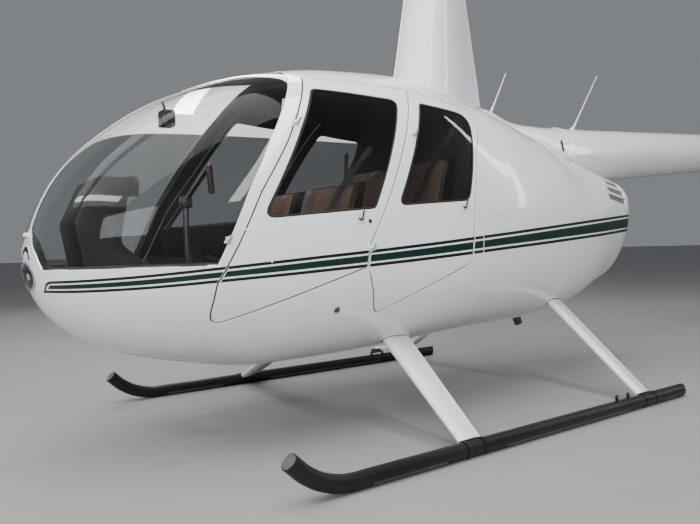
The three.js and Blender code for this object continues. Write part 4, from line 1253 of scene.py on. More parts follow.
def coneRings():
    rows = np.array(cone["stations"])
    radiusAt = monotone(rows[:, 0], rows[:, 1])
    angles = 2 * np.pi * np.arange(cone["sides"]) / cone["sides"]
    rings = []

    def ring(y, extra):
        radius = float(radiusAt(min(y, rows[-1, 0]))) + extra
        rings.append(hoop(radius, y, coneHigh(y), angles))

    ends = [1.1] + cone["laps"] + [5.597]
    for start, end in zip(ends, ends[1:]):
        for y in np.linspace(start, end, 7)[:-1]:
            ring(y, cone["lap"] * (1 - (y - start) / (end - start)))
        ring(end, 0.0)
        if end < 5.5:
            ring(end + 0.0004, 0.0)
            ring(end + 0.0008, cone["lap"])
    a = 2 * np.pi * (np.arange(cone["rivets"]) + 0.5) / cone["rivets"]
    rows = [lap - cone["rivetRow"] for lap in cone["laps"]]
    places = np.concatenate([hoop(float(radiusAt(lap)) + 0.0006, y, coneHigh(y), a)
                             for lap, y in zip(cone["laps"], rows)])
    return rings, places, np.concatenate([hoop(1, 0.02, 0, a) for _ in rows])


makePiece("mast_fairing_skin", "root", [("whitePaint", mastFairing())], ("mast_fairing",))

rings, (portEdge, farEdge) = spineRings()
# Whip aerials: foot, tip
whips = {"cowl": ((0, 0.533, 1.776), (0, 0.705, 2.083)), "cone": ((0, 1.436, 1.75), (0, 1.77, 2.205))}


def whip(base, tip):
    base, tip = np.array(base), np.array(tip)
    along = unit(tip - base)
    long = float(np.linalg.norm(tip - base))
    stem = lathe([(0, 0.0085), (0.05, 0.0085), (0.075, 0.006), (0.12, 0.0045), (long - 0.004, 0.0026),
                  (long, 0.0012)], base, along, 14)
    foot = lathe([(-0.004, 0.022), (0.006, 0.022), (0.012, 0.018), (0.02, 0.0115), (0.024, 0.009)], base,
                 (0, 0, 1), 28)
    return [("whitePaint", merged(stem, foot))]


def slotPiece(y, degrees):
    # A short drain slot in the cowl's side, standing up along the skin; its opening is a black plug, painted
    # shade for the dark inside
    a = math.radians(degrees)
    radius, high = float(spineRadius(y)), float(spineHigh(y))
    out = np.array([math.cos(a), 0, math.sin(a)])
    centre = np.array([radius * math.cos(a), y, high + radius * math.sin(a)])
    up = unit(np.array([-math.sin(a), 0.1, math.cos(a)]))
    side = np.cross(up, out)
    turn = np.linspace(0, 2 * np.pi, 28, endpoint=False)

    def ring(long, wide, lift):
        return np.array([centre + up * long * (math.sin(t) + 0.6 * np.sign(math.sin(t)))
                         + side * wide * math.cos(t) + out * lift for t in turn])
    rim = loft([ring(long, wide, lift) for long, wide, lift in (
        (0.027, 0.012, -0.004), (0.027, 0.012, 0.001), (0.026, 0.011, 0.002), (0.024, 0.0085, 0.0021),
        (0.023, 0.0075, 0.001))])
    # The slot's opening filled by a black plug: painted shade where the inside of the hole would be dark
    holeShade = loft([ring(0.0235, 0.008, -0.003), ring(0.0235, 0.008, 0.00125)])
    return [("blackPlastic", rim), ("rubber", holeShade)]


sealLine = [tube(evenly(np.array(edge), 0.012), spine["seal"], 8) for edge in (portEdge, farEdge)]
sleeveEnd = rings[-1][:40] + (0, 0.001, 0)
makePiece("upper_cowl_skin", "root",
          [("whitePaint", loft(rings)), ("rubber", merged(*sealLine)),
           ("whitePaint", tube(evenly(sleeveEnd - (0, 0, 0.0015), 0.012), 0.0034, 8))]
          + whip(*whips["cowl"]) + slotPiece(1.03, 17), ("upper_cowl",))

rings, places, out = coneRings()
makePiece("tail_cone_skin", "root",
          [("whitePaint", loft(rings)), ("whitePaint", domes(places, out, cone["rivetRadius"], 0.0008))]
          + whip(*whips["cone"]), ("tail_cone",), angle=24)
print("fairing and cone made")

# Landing gear: faired legs, black skids

gear = {
    # y at the body, half distance there, height there, y at the skid, chord, thickness
    "legs": {"front": (-0.68, 0.45, 0.4, -0.796, 0.166, 0.054),
             "rear": (0.708, 0.4, 0.488, 0.568, 0.126, 0.044)},
    "taper": {"front": 0.76, "rear": 0.84}, "rootDeep": {"front": 0.12, "rear": 0.15},
    "skidAt": 1.057, "tube": 0.035, "axisHigh": 0.034, "bevel": 0.075,
    # y and height of the skid tube's axis
    "path": [(-1.706, 0.165), (-1.64, 0.105), (-1.56, 0.06), (-1.456, 0.035), (-1.3, 0.034), (-0.4, 0.034),
             (0.942, 0.034)],
    # shoes: from and to; then their outer and inner radius and the height of their axis
    "shoes": [(-1.36, -0.98), (-0.62, 0.36), (0.72, 0.8)], "shoe": (0.0372, 0.0345, 0.0355),
    "lugs": (0.292, 0.396), "lugAt": 1.047,
}


def legRings(row, grow=0.0):
    top, half, high, foot, chord, thick = gear["legs"][row]
    skid = gear["skidAt"]
    root, end = np.array((half, top, high, 1.0)), np.array((skid - 0.006, foot, 0.048, gear["taper"][row]))
    rings = []
    for x, y, z, share in evenly(np.array([root + (root - end) * gear["rootDeep"][row], root, end]), 0.02):
        section = airfoil(-0.45 * chord * share - grow, 0.55 * chord * share + grow,
                          0.5 * thick * share + grow, 22)
        rings.append(np.stack([x + section[:, 1], y + section[:, 0], z + 0.35 * section[:, 1]], -1))
    return np.array(rings)


def inBody(points):
    x, y, z = points.T
    return np.abs(x) < sectionWide(angleAt(y), z)


def inSkid(points):
    return np.hypot(points[:, 0] - gear["skidAt"], points[:, 2] - gear["axisHigh"]) < gear["tube"] + 0.003


def meeting(rings, isIn):
    # The loop where the leg's lines pass through another body's skin
    loop = []
    for line in rings.transpose(1, 0, 2):
        inside = isIn(line)
        i = int(np.nonzero(inside[1:] != inside[:-1])[0][0])
        low, high = line[i], line[i + 1]
        for _ in range(24):
            middle = (low + high) / 2
            if isIn(middle[None])[0] == inside[i]:
                low = middle
            else:
                high = middle
        loop.append(low)
    loop = np.array(loop)
    return evenly(np.concatenate([loop, loop[:1]]), 0.004)[:-1]


def skidTube():
    skid = gear["skidAt"]
    line = smoothLine([(skid, y, z) for y, z in gear["path"]], 0.02)
    points, faces = tube(line, gear["tube"], 40)
    aft = points[:, 1] > line[-1][1] - 1e-6
    points[aft, 1] -= gear["bevel"] * np.clip(1 - points[aft, 2] / (2 * gear["tube"]), 0, 1)
    points[:, 2] = np.maximum(points[:, 2], 0)
    return points, faces


def skidShoe(start, end):
    # A hard steel half shell worn along the tube's underside
    a = np.radians(np.linspace(200, 340, 15))
    outer, inner, high = gear["shoe"]
    shell = np.concatenate([hoop(outer, 0, high, a), hoop(inner, 0, high, a)[::-1]]) + (gear["skidAt"], 0, 0)
    shell[:, 2] = np.maximum(shell[:, 2], 0.0002)
    return loft([shell + (0, y, 0) for y in np.linspace(start, end, 12)])


for row in ("front", "rear"):
    rings, loose = legRings(row), legRings(row, 0.01)
    leg = loft(list(rings[:, ::-1]))
    # Black ring where the leg enters the body: painted shade for the gap round the leg's root
    gap = tube(meeting(legRings(row, 0.003), inBody), 0.0055, 8, closed=True)
    lip = tube(meeting(loose, inBody), 0.004, 8, closed=True)
    gasket = tube(meeting(legRings(row, 0.0015), inSkid), 0.0042, 8, closed=True)
    screwAt = meeting(loose, inBody)
    screwAt = screwAt[[int(screwAt[:, 2].argmax())]] + (0.004, 0, 0.002)
    sides = [("whitePaint", merged(leg, lip, domes(screwAt, [(0.6, 0, 0.6)], 0.004, 0.002))),
             ("rubber", merged(gap, gasket))]
    makePiece(f"{row}_legs_faired", "root", paired(sides), (f"{row}_gear_legs",))

skidParts = [("skidPaint", skidTube()),
             ("darkSteel", merged(*[skidShoe(start, end) for start, end in gear["shoes"]]))]
tipAt, tipNext = np.array((gear["skidAt"], *gear["path"][0])), np.array((gear["skidAt"], *gear["path"][1]))
tipOut = unit(tipAt - tipNext)
skidParts.append(("castMetal", lathe([(-0.004, 0.031), (0.0015, 0.031), (0.003, 0.0295), (0.003, 0.024),
                                      (0.001, 0.022), (0.001, 0.004)], tipAt, tipOut, 40)))
clamps, bolts = [], []
for row in ("front", "rear"):
    foot = gear["legs"][row][3]
    for y in (foot - 0.052, foot + 0.052):
        band = [(gear["skidAt"] + 0.0368 * math.cos(t), y, max(0.0352 + 0.0368 * math.sin(t), 0.0015))
                for t in np.linspace(0, 2 * math.pi, 40, endpoint=False)]
        clamps.append(tube(band, 0.0016, 8, closed=True, flat=6.0, facing=(0, 1, 0)))
        bolts.append(rod((gear["skidAt"] - 0.04, y, 0.05), (gear["skidAt"] - 0.026, y, 0.052), 0.0045, 6))
for y in gear["lugs"]:       # for the ground wheels
    clamps.append(plate([(gear["lugAt"], y + along, high) for along, high in (
        (-0.01, 0.06), (-0.008, 0.09), (0, 0.097), (0.008, 0.09), (0.01, 0.06))], (0.008, 0, 0), 0.001))
    bolts.append(rod((1.038, y, 0.083), (1.066, y, 0.083), 0.0055, 16))
skidParts += [("skidPaint", merged(*clamps)), ("steel", merged(*bolts))]
bothSides("skid_tube", "root", skidParts, ("skid",))
print("gear made")


# Main rotor: swashplate, mast, teetering hub and two blades

rotor = {
    "fairingTop": 2.96, "plane": 3.19,
    # distance out, chord, half thickness
    "blade": [(0.252, 0.1, 0.03), (0.42, 0.11, 0.03), (0.62, 0.18, 0.02), (0.86, 0.254, 0.015),
              (4.995, 0.254, 0.015), (5.018, 0.25, 0.012), (5.029, 0.236, 0.006)],
    "hornReach": 0.15, "hornAt": 0.19,
}


def wingLoft(rows, place, count=24, steps=8, flowing=False):
    # A skin through sections given as distance, front, back and half thickness
    rows = np.array(rows, float)
    finer = []
    for a, b in zip(rows, rows[1:]):
        many = max(1, min(steps, int(abs(b[0] - a[0]) / 0.03)))
        finer += [a + (b - a) * k / many for k in range(many)]
    finer = np.array(finer + [rows[-1]])
    if flowing:
        finer[:, 1:] = np.stack([monotone(rows[:, 0], rows[:, k])(finer[:, 0]) for k in (1, 2, 3)], -1)
    return loft([[place(far, along, thick) for along, thick in airfoil(front, back, half, count)]
                 for far, front, back, half in finer])


top, plane = rotor["fairingTop"], rotor["plane"]
lower = [lathe([(0, 0.07), (0.006, 0.072), (0.034, 0.062), (0.04, 0.058)],
               (0, 0, top + 0.0005), (0, 0, 1), 48),
         lathe([(0, 0.104), (0.003, 0.109), (0.006, 0.11), (0.018, 0.102), (0.022, 0.098)],
               (0, 0, top + 0.019), (0, 0, 1), 64)]
ears = [block((x - 0.014, y - 0.014, top + 0.02), (x + 0.014, y + 0.014, top + 0.038), 0.004)
        for x, y in ((0.092, -0.02), (-0.092, -0.02), (0, 0.094))]
guide = rod((0, 0.098, top + 0.002), (0, 0.098, top + 0.024), 0.007, 14)
makePiece("swashplate_lower", "root",
          [("aluminium", merged(*lower, *ears)), ("steel", guide)], ("swashplate",))

shaft = lathe([(0, 0.0335), (0.002, 0.034), (plane - 0.066 - top, 0.034), (plane - 0.064 - top, 0.0335)],
              (0, 0, top + 0.001), (0, 0, 1), 48)
folds = [(0.006 + 0.007 * k, 0.046 - 0.0012 * k - 0.004 * (k % 2)) for k in range(11)]
boot = lathe([(0, 0.04), (0.004, 0.046), *folds, (0.085, 0.036)], (0, 0, top + 0.07), (0, 0, 1), 48)
upper = lathe([(0, 0.1), (0.003, 0.104), (0.006, 0.104), (0.02, 0.093), (0.024, 0.09)], (0, 0, top + 0.05),
              (0, 0, 1), 64)
links, ends = [], []
for way in (-1, 1):
    x, y = way * rotor["hornReach"], -way * rotor["hornAt"]
    links.append(rod((way * 0.08, 0, top + 0.063), (x, y, top + 0.064), 0.0105, 14))
    ends.append(lathe([(-0.012, 0.008), (-0.007, 0.0135), (0.007, 0.0135), (0.012, 0.008)],
                      (x, y, top + 0.064), (0, 0, 1), 20))
    ends.append(rod((x, y, top + 0.07), (x, y, plane - 0.024), 0.007, 14))
    ends.append(rod((x, y, top + 0.1), (x, y, top + 0.112), 0.0095, 6))
    ends.append(rod((x, y, plane - 0.05), (x, y, plane - 0.038), 0.0095, 6))
makePiece("mast_and_swashplate", "main_rotor",
          [("steel", merged(shaft, *ends)), ("aluminium", merged(upper, *links)), ("rubber", boot)],
          ("rotor_mast",))

hubBlock = block((-0.06, -0.128, plane - 0.058), (0.06, 0.128, plane + 0.053), 0.01, 3)
arms = block((-0.047, -0.249, plane - 0.033), (0.047, 0.249, plane + 0.033), 0.008, 3)
teeter = [lathe([(-0.1, 0.012), (-0.098, 0.016), (-0.08, 0.016), (-0.079, 0.024), (-0.066, 0.024),
                 (-0.064, 0.02), (0.064, 0.02), (0.066, 0.024), (0.079, 0.024), (0.08, 0.016),
                 (0.098, 0.016), (0.1, 0.012)], (0, 0, plane), (1, 0, 0), 24)]
for way in (-1, 1):
    teeter.append(lathe([(-0.058, 0.01), (-0.056, 0.014), (-0.048, 0.02), (0.048, 0.02), (0.056, 0.014),
                         (0.058, 0.01)], (0, way * 0.205, plane), (1, 0, 0), 20))
dome = lathe([(0, 0.027), (0.03, 0.026), (0.036, 0.022), (0.038, 0.01)], (0, 0, plane + 0.048), (0, 0, 1), 32)
makePiece("teetering_hub", "main_rotor",
          [("aluminium", merged(hubBlock, arms)), ("steel", merged(*teeter, dome))], ("rotor_hub",))

for name, way in (("fore", -1), ("aft", 1)):
    def place(far, along, thick):
        return (-way * along, way * far, plane + thick)
    rows = [(far, 0.25 * chord, -0.75 * chord, half) for far, chord, half in rotor["blade"]]
    skin = wingLoft(rows, place, 30, 14, flowing=True)
    x, y = -way * rotor["hornReach"], way * rotor["hornAt"]
    horn = merged(rod((-way * 0.015, way * 0.3, plane), (x, y, plane - 0.005), 0.0135, 16),
                  rod((x, y, plane - 0.021), (x, y, plane + 0.012), 0.013, 18))
    cuff = lathe([(-0.02, 0.04), (-0.014, 0.047), (0.014, 0.047), (0.02, 0.04)], (0, way * 0.3, plane),
                 (0, 1, 0), 28)
    rivets = [(-way * 0.0337, way * far, plane + 0.0145) for far in np.arange(0.95, 1.5, 0.035)]
    makePiece(f"main_blade_skin_{name}", "main_rotor",
              [("bladePaint", skin), ("aluminium", merged(horn, cuff)),
               ("bladePaint", domes(np.array(rivets), [(0, 0, 1)] * len(rivets), 0.003, 0.0012))],
              (f"main_blade_{name}",), angle=40)
print("rotor made")


# Tail: gearbox, tail rotor, fins, stabiliser, guard and lamps

tail = {
    "rotorAt": (0.285, 5.893, 1.905),
    # distance out, chord, half thickness
    "blade": [(0.1153, 0.06, 0.016), (0.19, 0.08, 0.014), (0.26, 0.13, 0.008), (0.725, 0.13, 0.008),
              (0.737, 0.122, 0.004)],
    # height, leading edge, trailing edge, half thickness
    "upperFin": [(1.925, 5.17, 5.55, 0.024), (2.69, 5.618, 5.869, 0.014), (2.712, 5.626, 5.876, 0.011),
                 (2.72, 5.642, 5.872, 0.005)],
    "lowerFin": [(1.803, 5.2, 5.55, 0.024), (1.25, 5.544, 5.807, 0.014), (1.232, 5.552, 5.812, 0.011),
                 (1.225, 5.566, 5.806, 0.005)],
    "planeHigh": 1.86,
    "plane": [(0.06, 5.18, 5.54, 0.024), (0.85, 5.18, 5.54, 0.024), (0.872, 5.184, 5.534, 0.019),
              (0.88, 5.196, 5.524, 0.009)],
    "guard": [(0.07, 4.9, 1.715), (0.19, 5.06, 1.59), (0.285, 5.33, 1.29), (0.285, 5.64, 1.122),
              (0.285, 6.0, 1.098), (0.285, 6.36, 1.16), (0.285, 6.61, 1.33)],
}
hubX, hubY, hubZ = tail["rotorAt"]
neckTurn = np.linspace(0, 2 * np.pi, 40, endpoint=False)
neckRows = [(5.6005, 0.092), (5.612, 0.092), (5.614, 0.08), (5.64, 0.056), (5.8, 0.052), (5.836, 0.066)]
neck = loft([hoop(radius, y, coneHigh(y), neckTurn) for y, radius in neckRows])
casing = lathe([(-0.075, 0.05), (-0.072, 0.066), (-0.064, 0.07), (-0.05, 0.071), (-0.048, 0.064),
                (0.07, 0.064), (0.072, 0.071), (0.1, 0.071), (0.102, 0.05), (0.186, 0.034), (0.19, 0.03)],
               (0, hubY, hubZ), (1, 0, 0), 44)
eighths = 2 * np.pi * np.arange(8) / 8
studs = [rod((-0.078, hubY + y, hubZ + z), (-0.07, hubY + y, hubZ + z), 0.005, 6)
         for y, z in zip(0.058 * np.cos(eighths), 0.058 * np.sin(eighths))]
flange = [rod(a, b, 0.0045, 6) for a, b in zip(hoop(0.084, 5.606, coneHigh(5.606), eighths),
                                               hoop(0.084, 5.617, coneHigh(5.617), eighths))]
sight = lathe([(0, 0.012), (0.004, 0.012), (0.005, 0.009)], (0, hubY + 0.062, hubZ - 0.02), (0, 1, -0.2), 20)
makePiece("tail_gearbox_case", "root",
          [("aluminium", merged(neck, casing)), ("steel", merged(*studs, *flange)), ("dialGlass", sight)],
          ("tail_gearbox",))

shaft = lathe([(0, 0.018), (0.002, 0.02), (0.06, 0.02), (0.062, 0.028), (0.075, 0.028), (0.077, 0.02),
               (0.132, 0.02), (0.134, 0.015)], (0.196, hubY, hubZ), (1, 0, 0), 28)
yoke = block((hubX - 0.021, hubY - 0.034, hubZ - 0.114), (hubX + 0.021, hubY + 0.034, hubZ + 0.114), 0.007, 3)
pins = merged(*[rod((hubX - 0.024, hubY, hubZ + z), (hubX + 0.024, hubY, hubZ + z), 0.01, 16)
                for z in (-0.082, 0.082)],
              rod((hubX + 0.018, hubY, hubZ), (hubX + 0.045, hubY, hubZ), 0.016, 6))
pitch = merged(*[rod((0.262, hubY, hubZ), (hubX - 0.02, hubY + way * 0.04, hubZ + way * 0.1), 0.005, 10)
                 for way in (-1, 1)])
makePiece("tail_rotor_yoke", "tail_rotor",
          [("steel", merged(shaft, pins, pitch)), ("aluminium", yoke)], ("tail_rotor_hub",))

for name, way in (("upper", 1), ("lower", -1)):
    def place(far, along, thick):
        return (hubX + thick, hubY + way * along, hubZ + way * far)
    rows = [(far, -0.25 * chord, 0.75 * chord, half) for far, chord, half in tail["blade"]]
    rivets = [(hubX + 0.015, hubY + way * 0.008, hubZ + way * far) for far in (0.135, 0.155, 0.175)]
    makePiece(f"tail_blade_skin_{name}", "tail_rotor",
              [("bladePaint", wingLoft(rows, place, 22, 8)),
               ("steel", domes(np.array(rivets), [(1, 0, 0)] * 3, 0.005, 0.003))],
              (f"tail_blade_{name}",), angle=40)

for name in ("upper", "lower"):
    fin = wingLoft(tail[f"{name}Fin"], lambda far, along, thick: (thick, along, far), 26, 12)
    makePiece(f"{name}_fin_skin", "root",
              [("whitePaint", fin)], (f"{name}_fin",), angle=40)
level = wingLoft(tail["plane"], lambda far, along, thick: (-far, along, tail["planeHigh"] + thick), 26, 12)
endPlate = rod((-0.868, 5.2, tail["planeHigh"]), (-0.868, 5.215, tail["planeHigh"]), 0.006, 12)
makePiece("stabiliser_skin", "root", [("whitePaint", level), ("steel", endPlate)], ("stabiliser",),
          angle=40)

guard = tube(smoothLine(tail["guard"], 0.02), 0.014, 20)
stay = rod((0, 5.7, 1.205), (0.285, 5.7, 1.113), 0.012, 18)
tailSkid = tube(smoothLine([(0, 5.56, 1.212), (0, 5.76, 1.2), (0, 5.9, 1.15)], 0.02), 0.012, 18)
guardTip = lathe([(0, 0.015), (0.1, 0.015), (0.104, 0.012)], (0.285, 6.552, 1.289), (0, 0.816, 0.578), 20)
makePiece("tail_guard_tube", "root",
          [("whitePaint", merged(guard, stay, tailSkid)), ("redPlastic", guardTip)], ("tail_guard",))

beaconAt = 3.65
beaconHigh = coneHigh(beaconAt) + 0.1475
dome = lathe([(0.02, 0.0375), (0.045, 0.037), (0.068, 0.032), (0.084, 0.02), (0.0945, 0.006)],
             (0, beaconAt, beaconHigh), (0, 0, 1), 36)
foot = lathe([(0, 0.042), (0.016, 0.041), (0.021, 0.039), (0.024, 0.034)], (0, beaconAt, beaconHigh),
             (0, 0, 1), 36)
makePiece("beacon_lamp", "root", [("redPlastic", dome), ("aluminium", foot)], ("beacon",))
print("tail made")


# Cabin: padded seats, belts, instrument console, sticks and pedals

seats = {
    # cushion front and back, height of its box, foot of the rest, its lean, its top, inner and outer side
    "front": (-1.505, -1.112, 0.717, -1.062, -0.965, 1.236, 0.054, 0.506),
    "rear": (-0.81, -0.492, 0.762, -0.44, -0.345, 1.395, 0.024, 0.486),
}
# cap: the furthest a point swells; seam: depth of a sewn channel; high: thickness of a cushion
padding = {"voxel": 0.012, "pressure": 4.0, "frames": 20, "cap": 0.014, "seam": 0.0065, "seamWide": 0.0075,
           "piping": 0.0042, "high": 0.088, "restThick": 0.07, "corner": 0.032, "strapWide": 0.046,
           "strapThick": 0.0016}


def evaluated(thing):
    return thing.evaluated_get(bpy.context.evaluated_depsgraph_get())


def softPad(base):
    # Swollen by cloth pressure, no point further than the cap from where it began
    mesh = bpy.data.meshes.new("pad")
    mesh.from_pydata(base[0].tolist(), [], base[1])
    pad = placed("pad", mesh)
    remesh = pad.modifiers.new("even", "REMESH")
    remesh.mode = "VOXEL"
    remesh.voxel_size = padding["voxel"]
    even = bpy.data.meshes.new_from_object(evaluated(pad))
    pad.modifiers.clear()
    pad.data = even
    start = np.array([v.co for v in even.vertices])
    cloth = pad.modifiers.new("cloth", "CLOTH")
    cloth.settings.use_pressure = True
    cloth.settings.uniform_pressure_force = padding["pressure"]
    cloth.settings.effector_weights.gravity = 0
    cloth.point_cache.frame_start = 1
    cloth.point_cache.frame_end = padding["frames"]
    for number in range(1, padding["frames"] + 1):
        bpy.context.scene.frame_set(number)
    swollen = evaluated(pad).to_mesh()
    move = np.array([v.co for v in swollen.vertices]) - start
    far = np.linalg.norm(move, axis=1)
    start = start + move * (np.minimum(far, padding["cap"]) / np.maximum(far, 1e-9))[:, None]
    pad.modifiers.clear()
    bpy.context.scene.frame_set(1)
    even.vertices.foreach_set("co", start.ravel())
    smooth = pad.modifiers.new("smooth", "SUBSURF")
    smooth.levels = 1
    fine = bpy.data.meshes.new_from_object(evaluated(pad))
    part = shape([tuple(v.co) for v in fine.vertices], [tuple(f.vertices) for f in fine.polygons])
    bpy.data.objects.remove(pad)
    for spare in (mesh, even, fine):
        bpy.data.meshes.remove(spare)
    return part


def roundRect(wide, long, high, radius, steps, pull=0.0):
    # Rectangle with round corners, drawn in by pull
    return np.array([(sx * (wide / 2 - radius) + (radius - pull) * math.cos(t + i * math.pi / 2),
                      sy * (long / 2 - radius) + (radius - pull) * math.sin(t + i * math.pi / 2), high)
                     for i, (sx, sy) in enumerate(((1, 1), (-1, 1), (-1, -1), (1, -1)))
                     for t in np.linspace(0, math.pi / 2, steps)])


def padBlock(wide, long, thick, crown):
    # A slab with round corners and a crowned top, its middle at the origin
    rings = []
    for share in np.linspace(-1, 1, 9):
        pull = padding["corner"] * (1 - math.sqrt(max(0, 1 - abs(share) ** 3)))
        rings.append(roundRect(wide, long, share * thick / 2, padding["corner"], 6, pull))
    points, faces = loft(rings)
    form = bmesh.new()
    verts = [form.verts.new(tuple(p)) for p in points]
    for face in faces:
        form.faces.new([verts[i] for i in face])
    for cap in [f for f in form.faces if len(f.verts) > 4]:
        bmesh.ops.poke(form, faces=[cap], offset=crown)
    return taken(form)


def sewn(part, lines):
    # Channels pressed into the top of a pad, along its length
    points, faces = part
    points = points.copy()
    top = points[:, 2] > 0.25 * np.abs(points[:, 2]).max()
    for x in lines:
        press = padding["seam"] * np.exp(-((points[:, 0] - x) / padding["seamWide"]) ** 2)
        points[top, 2] -= press[top]
    return points, faces


def laid(part, line, lift):
    # A line dropped onto a pad's skin
    tree = BVHTree.FromPolygons([tuple(p) for p in part[0]], part[1])
    placed = []
    for point in line:
        where, normal, _, _ = tree.find_nearest(Vector(point))
        placed.append(np.array(where) + np.array(normal) * lift)
    return np.array(placed)


def rim(wide, long, high):
    # The line of the piping round a pad
    points = roundRect(wide, long, high, padding["corner"] * 0.9, 7)
    return evenly(np.concatenate([points, points[:1]]), 0.01)[:-1]


def padPiece(wide, long, thick):
    # A cushion or rest with two sewn channels, and its piping
    pad = softPad(padBlock(wide - 0.016, long - 0.016, thick - 0.02, 0.008))
    pad = sewn(pad, (-wide / 6, wide / 6))
    edges = [tube(laid(pad, rim(wide, long, high), 0.0012), padding["piping"], 8, closed=True)
             for high in (0.3 * thick, -0.3 * thick)]
    return pad, merged(*edges)


def leant(part, foot, lean, low, high, centre):
    # From flat to standing: the pad's y runs up the rest, its top faces ahead
    along = unit(np.array([0, lean - foot, high - low]))
    ahead = np.array([0, -along[2], along[1]])
    middle = np.array([centre, (foot + lean) / 2, (low + high) / 2])
    points, faces = part
    return (middle + points[:, [0]] * np.array([-1.0, 0, 0]) + points[:, [1]] * along
            + points[:, [2]] * ahead, faces)


def strap(line, thin):
    wide = padding["strapWide"]
    return tube(smoothLine(line, 0.012), wide / 2, 10, flat=padding["strapThick"] / wide * 2, facing=thin)


for row, (front, back, low, foot, lean, top, inner, outer) in seats.items():
    wide, centre = outer - inner, (outer + inner) / 2
    pad, piping = padPiece(wide, back - front, padding["high"])
    middle = np.array([centre, (front + back) / 2, low + padding["high"] / 2 + 0.003])
    pad, piping = ((points + middle, faces) for points, faces in (pad, piping))
    pad[0][:, 2] = np.maximum(pad[0][:, 2], low)
    restLow = low + padding["high"] + 0.016
    long = math.hypot(lean - foot, top - restLow)
    rest, edging = padPiece(wide, long, padding["restThick"])
    across = laid(rest, [(0.082 - wide / 2, 0.44 * long, 0.1), (0.105 - wide / 2, 0.24 * long, 0.1),
                         (-0.055, -0.04 * long, 0.1)], 0.006)
    rest, edging, (across, _) = (leant(part, foot - 0.02, lean + 0.014, restLow, top, centre)
                                 for part in (rest, edging, (across, [])))
    for side, sign in (("port", 1), ("starboard", -1)):
        for name, soft, edge in (("cushion", pad, piping), ("rest", rest, edging)):
            made = [("brownLeather", soft), ("piping", edge)]
            piece = makePiece(f"{row}_{name}_{side}", "root",
                              made if sign > 0 else [(f, flipped(p)) for f, p in made],
                              (f"{row}_seat_{side}",) if name == "cushion" else (), angle=60)
    # Lap strap over the cushion, its buckle in the middle, and the shoulder strap up to the side
    lap = laid(pad, evenly(np.array([(inner + 0.012, back - 0.02, low + 0.2),
                                     (centre, back - 0.11, low + 0.2),
                                     (outer - 0.012, back - 0.02, low + 0.2)]), 0.012), 0.0035)
    belt = strap(lap, (0, -0.15, 1))
    clasp = laid(pad, [(centre, back - 0.108, low + 0.2)], 0.01)[0]
    buckle = block(clasp - (0.034, 0.028, 0.008), clasp + (0.034, 0.028, 0.008), 0.005)
    plateHole = block(clasp - (0.016, 0.01, 0.0), clasp + (0.016, 0.01, 0.0105), 0.002)
    post = onSkin(lean + 0.035, top + 0.16, 0.044)
    shoulder = strap([post, *across, clasp - (0, 0, 0.002)], (0.1, -1, 0.35))
    straps = [("webbing", merged(belt, shoulder)), ("blackPlastic", buckle), ("steel", plateHole)]
    makePiece(f"{row}_belts", "root", paired(straps))
    shell = plate([(inner + 0.01, foot + 0.024, low + 0.07), (outer - 0.01, foot + 0.024, low + 0.07),
                   (outer - 0.01, lean + 0.058, top - 0.01), (inner + 0.01, lean + 0.058, top - 0.01)],
                  (0, 0.006, 0.001), 0.002)
    makePiece(f"{row}_seat_shells", "root", paired([("blackPlastic", shell)]))
print("seats made")

console = {
    "side": [(-2.08, 0.5205, 0), (-1.702, 0.5205, 0), (-1.762, 0.76, 0.05), (-1.982, 0.95, 0.05),
             (-1.927, 1.238, 0.02), (-2.078, 1.238, 0.04), (-2.17, 1.04, 0.06)],
    "half": 0.146, "face": ((-1.9765, 0.985), (-1.9335, 1.212)),
    # rows of dials: how many, their pitch, share up the face, radius
    "dials": [(3, 0.088, 0.84, 0.036), (3, 0.088, 0.47, 0.036), (5, 0.05, 0.16, 0.02)],
}
side = rounded(console["side"], 5)
podShell = plate([(-console["half"], y, z) for y, z in side], (2 * console["half"], 0, 0), 0.006)
low, high = (np.array(end) for end in console["face"])
up = np.array([0, high[0] - low[0], high[1] - low[1]])
faceLong = float(np.linalg.norm(up))
up /= faceLong
out = np.array([0, up[2], -up[1]])


def spoke(degrees):
    # A direction on the console's face
    return np.array([1.0, 0, 0]) * math.cos(math.radians(degrees)) + up * math.sin(math.radians(degrees))


bezels, faces, marks, needles, glass = [], [], [], [], []
dials = [((k - (many - 1) / 2) * pitch, share, radius)
         for many, pitch, share, radius in console["dials"] for k in range(many)]
for number, (x, share, radius) in enumerate(dials):
    at = np.array([x, low[0], low[1]]) + up * share * faceLong
    bezels.append(lathe([(-0.001, radius + 0.004), (0.004, radius + 0.004), (0.006, radius + 0.002),
                         (0.006, radius - 0.001), (0.003, radius - 0.002)], at, out, 36))
    faces.append(lathe([(0.0005, radius - 0.0015), (0.0034, radius - 0.0015)], at, out, 36))
    marks += [rod(at + out * 0.0036 + way * 0.68, at + out * 0.0036 + way * 0.88, 0.0009, 6)
              for way in [spoke(degrees) * radius for degrees in range(0, 360, 30)]]
    way = spoke(40 + 67 * number) * radius
    needles.append(rod(at + out * 0.004 - way * 0.12, at + out * 0.004 + way * 0.7, 0.0011, 6))
    glass.append(lathe([(0.0052, radius - 0.0016), (0.006, radius - 0.0018)], at, out, 36))
hood = loft([[(x, y, z + lift) for x, z in (
    (-0.149, 1.15), (-0.149, 1.215), (-0.125, 1.241), (0.125, 1.241), (0.149, 1.215), (0.149, 1.15),
    (0.144, 1.15), (0.144, 1.213), (0.123, 1.236), (-0.123, 1.236), (-0.144, 1.213), (-0.144, 1.15))]
    for y, lift in ((-1.945, 0.0), (-1.9, 0.004), (-1.897, 0.003))])
knobs, screens = [], []
slopeLow, slopeHigh = np.array((0, -1.788, 0.7825)), np.array((0, -1.897, 0.8765))
slope = unit(slopeHigh - slopeLow)
slopeOut = np.array([0, slope[2], -slope[1]])
slopeLong = 0.141
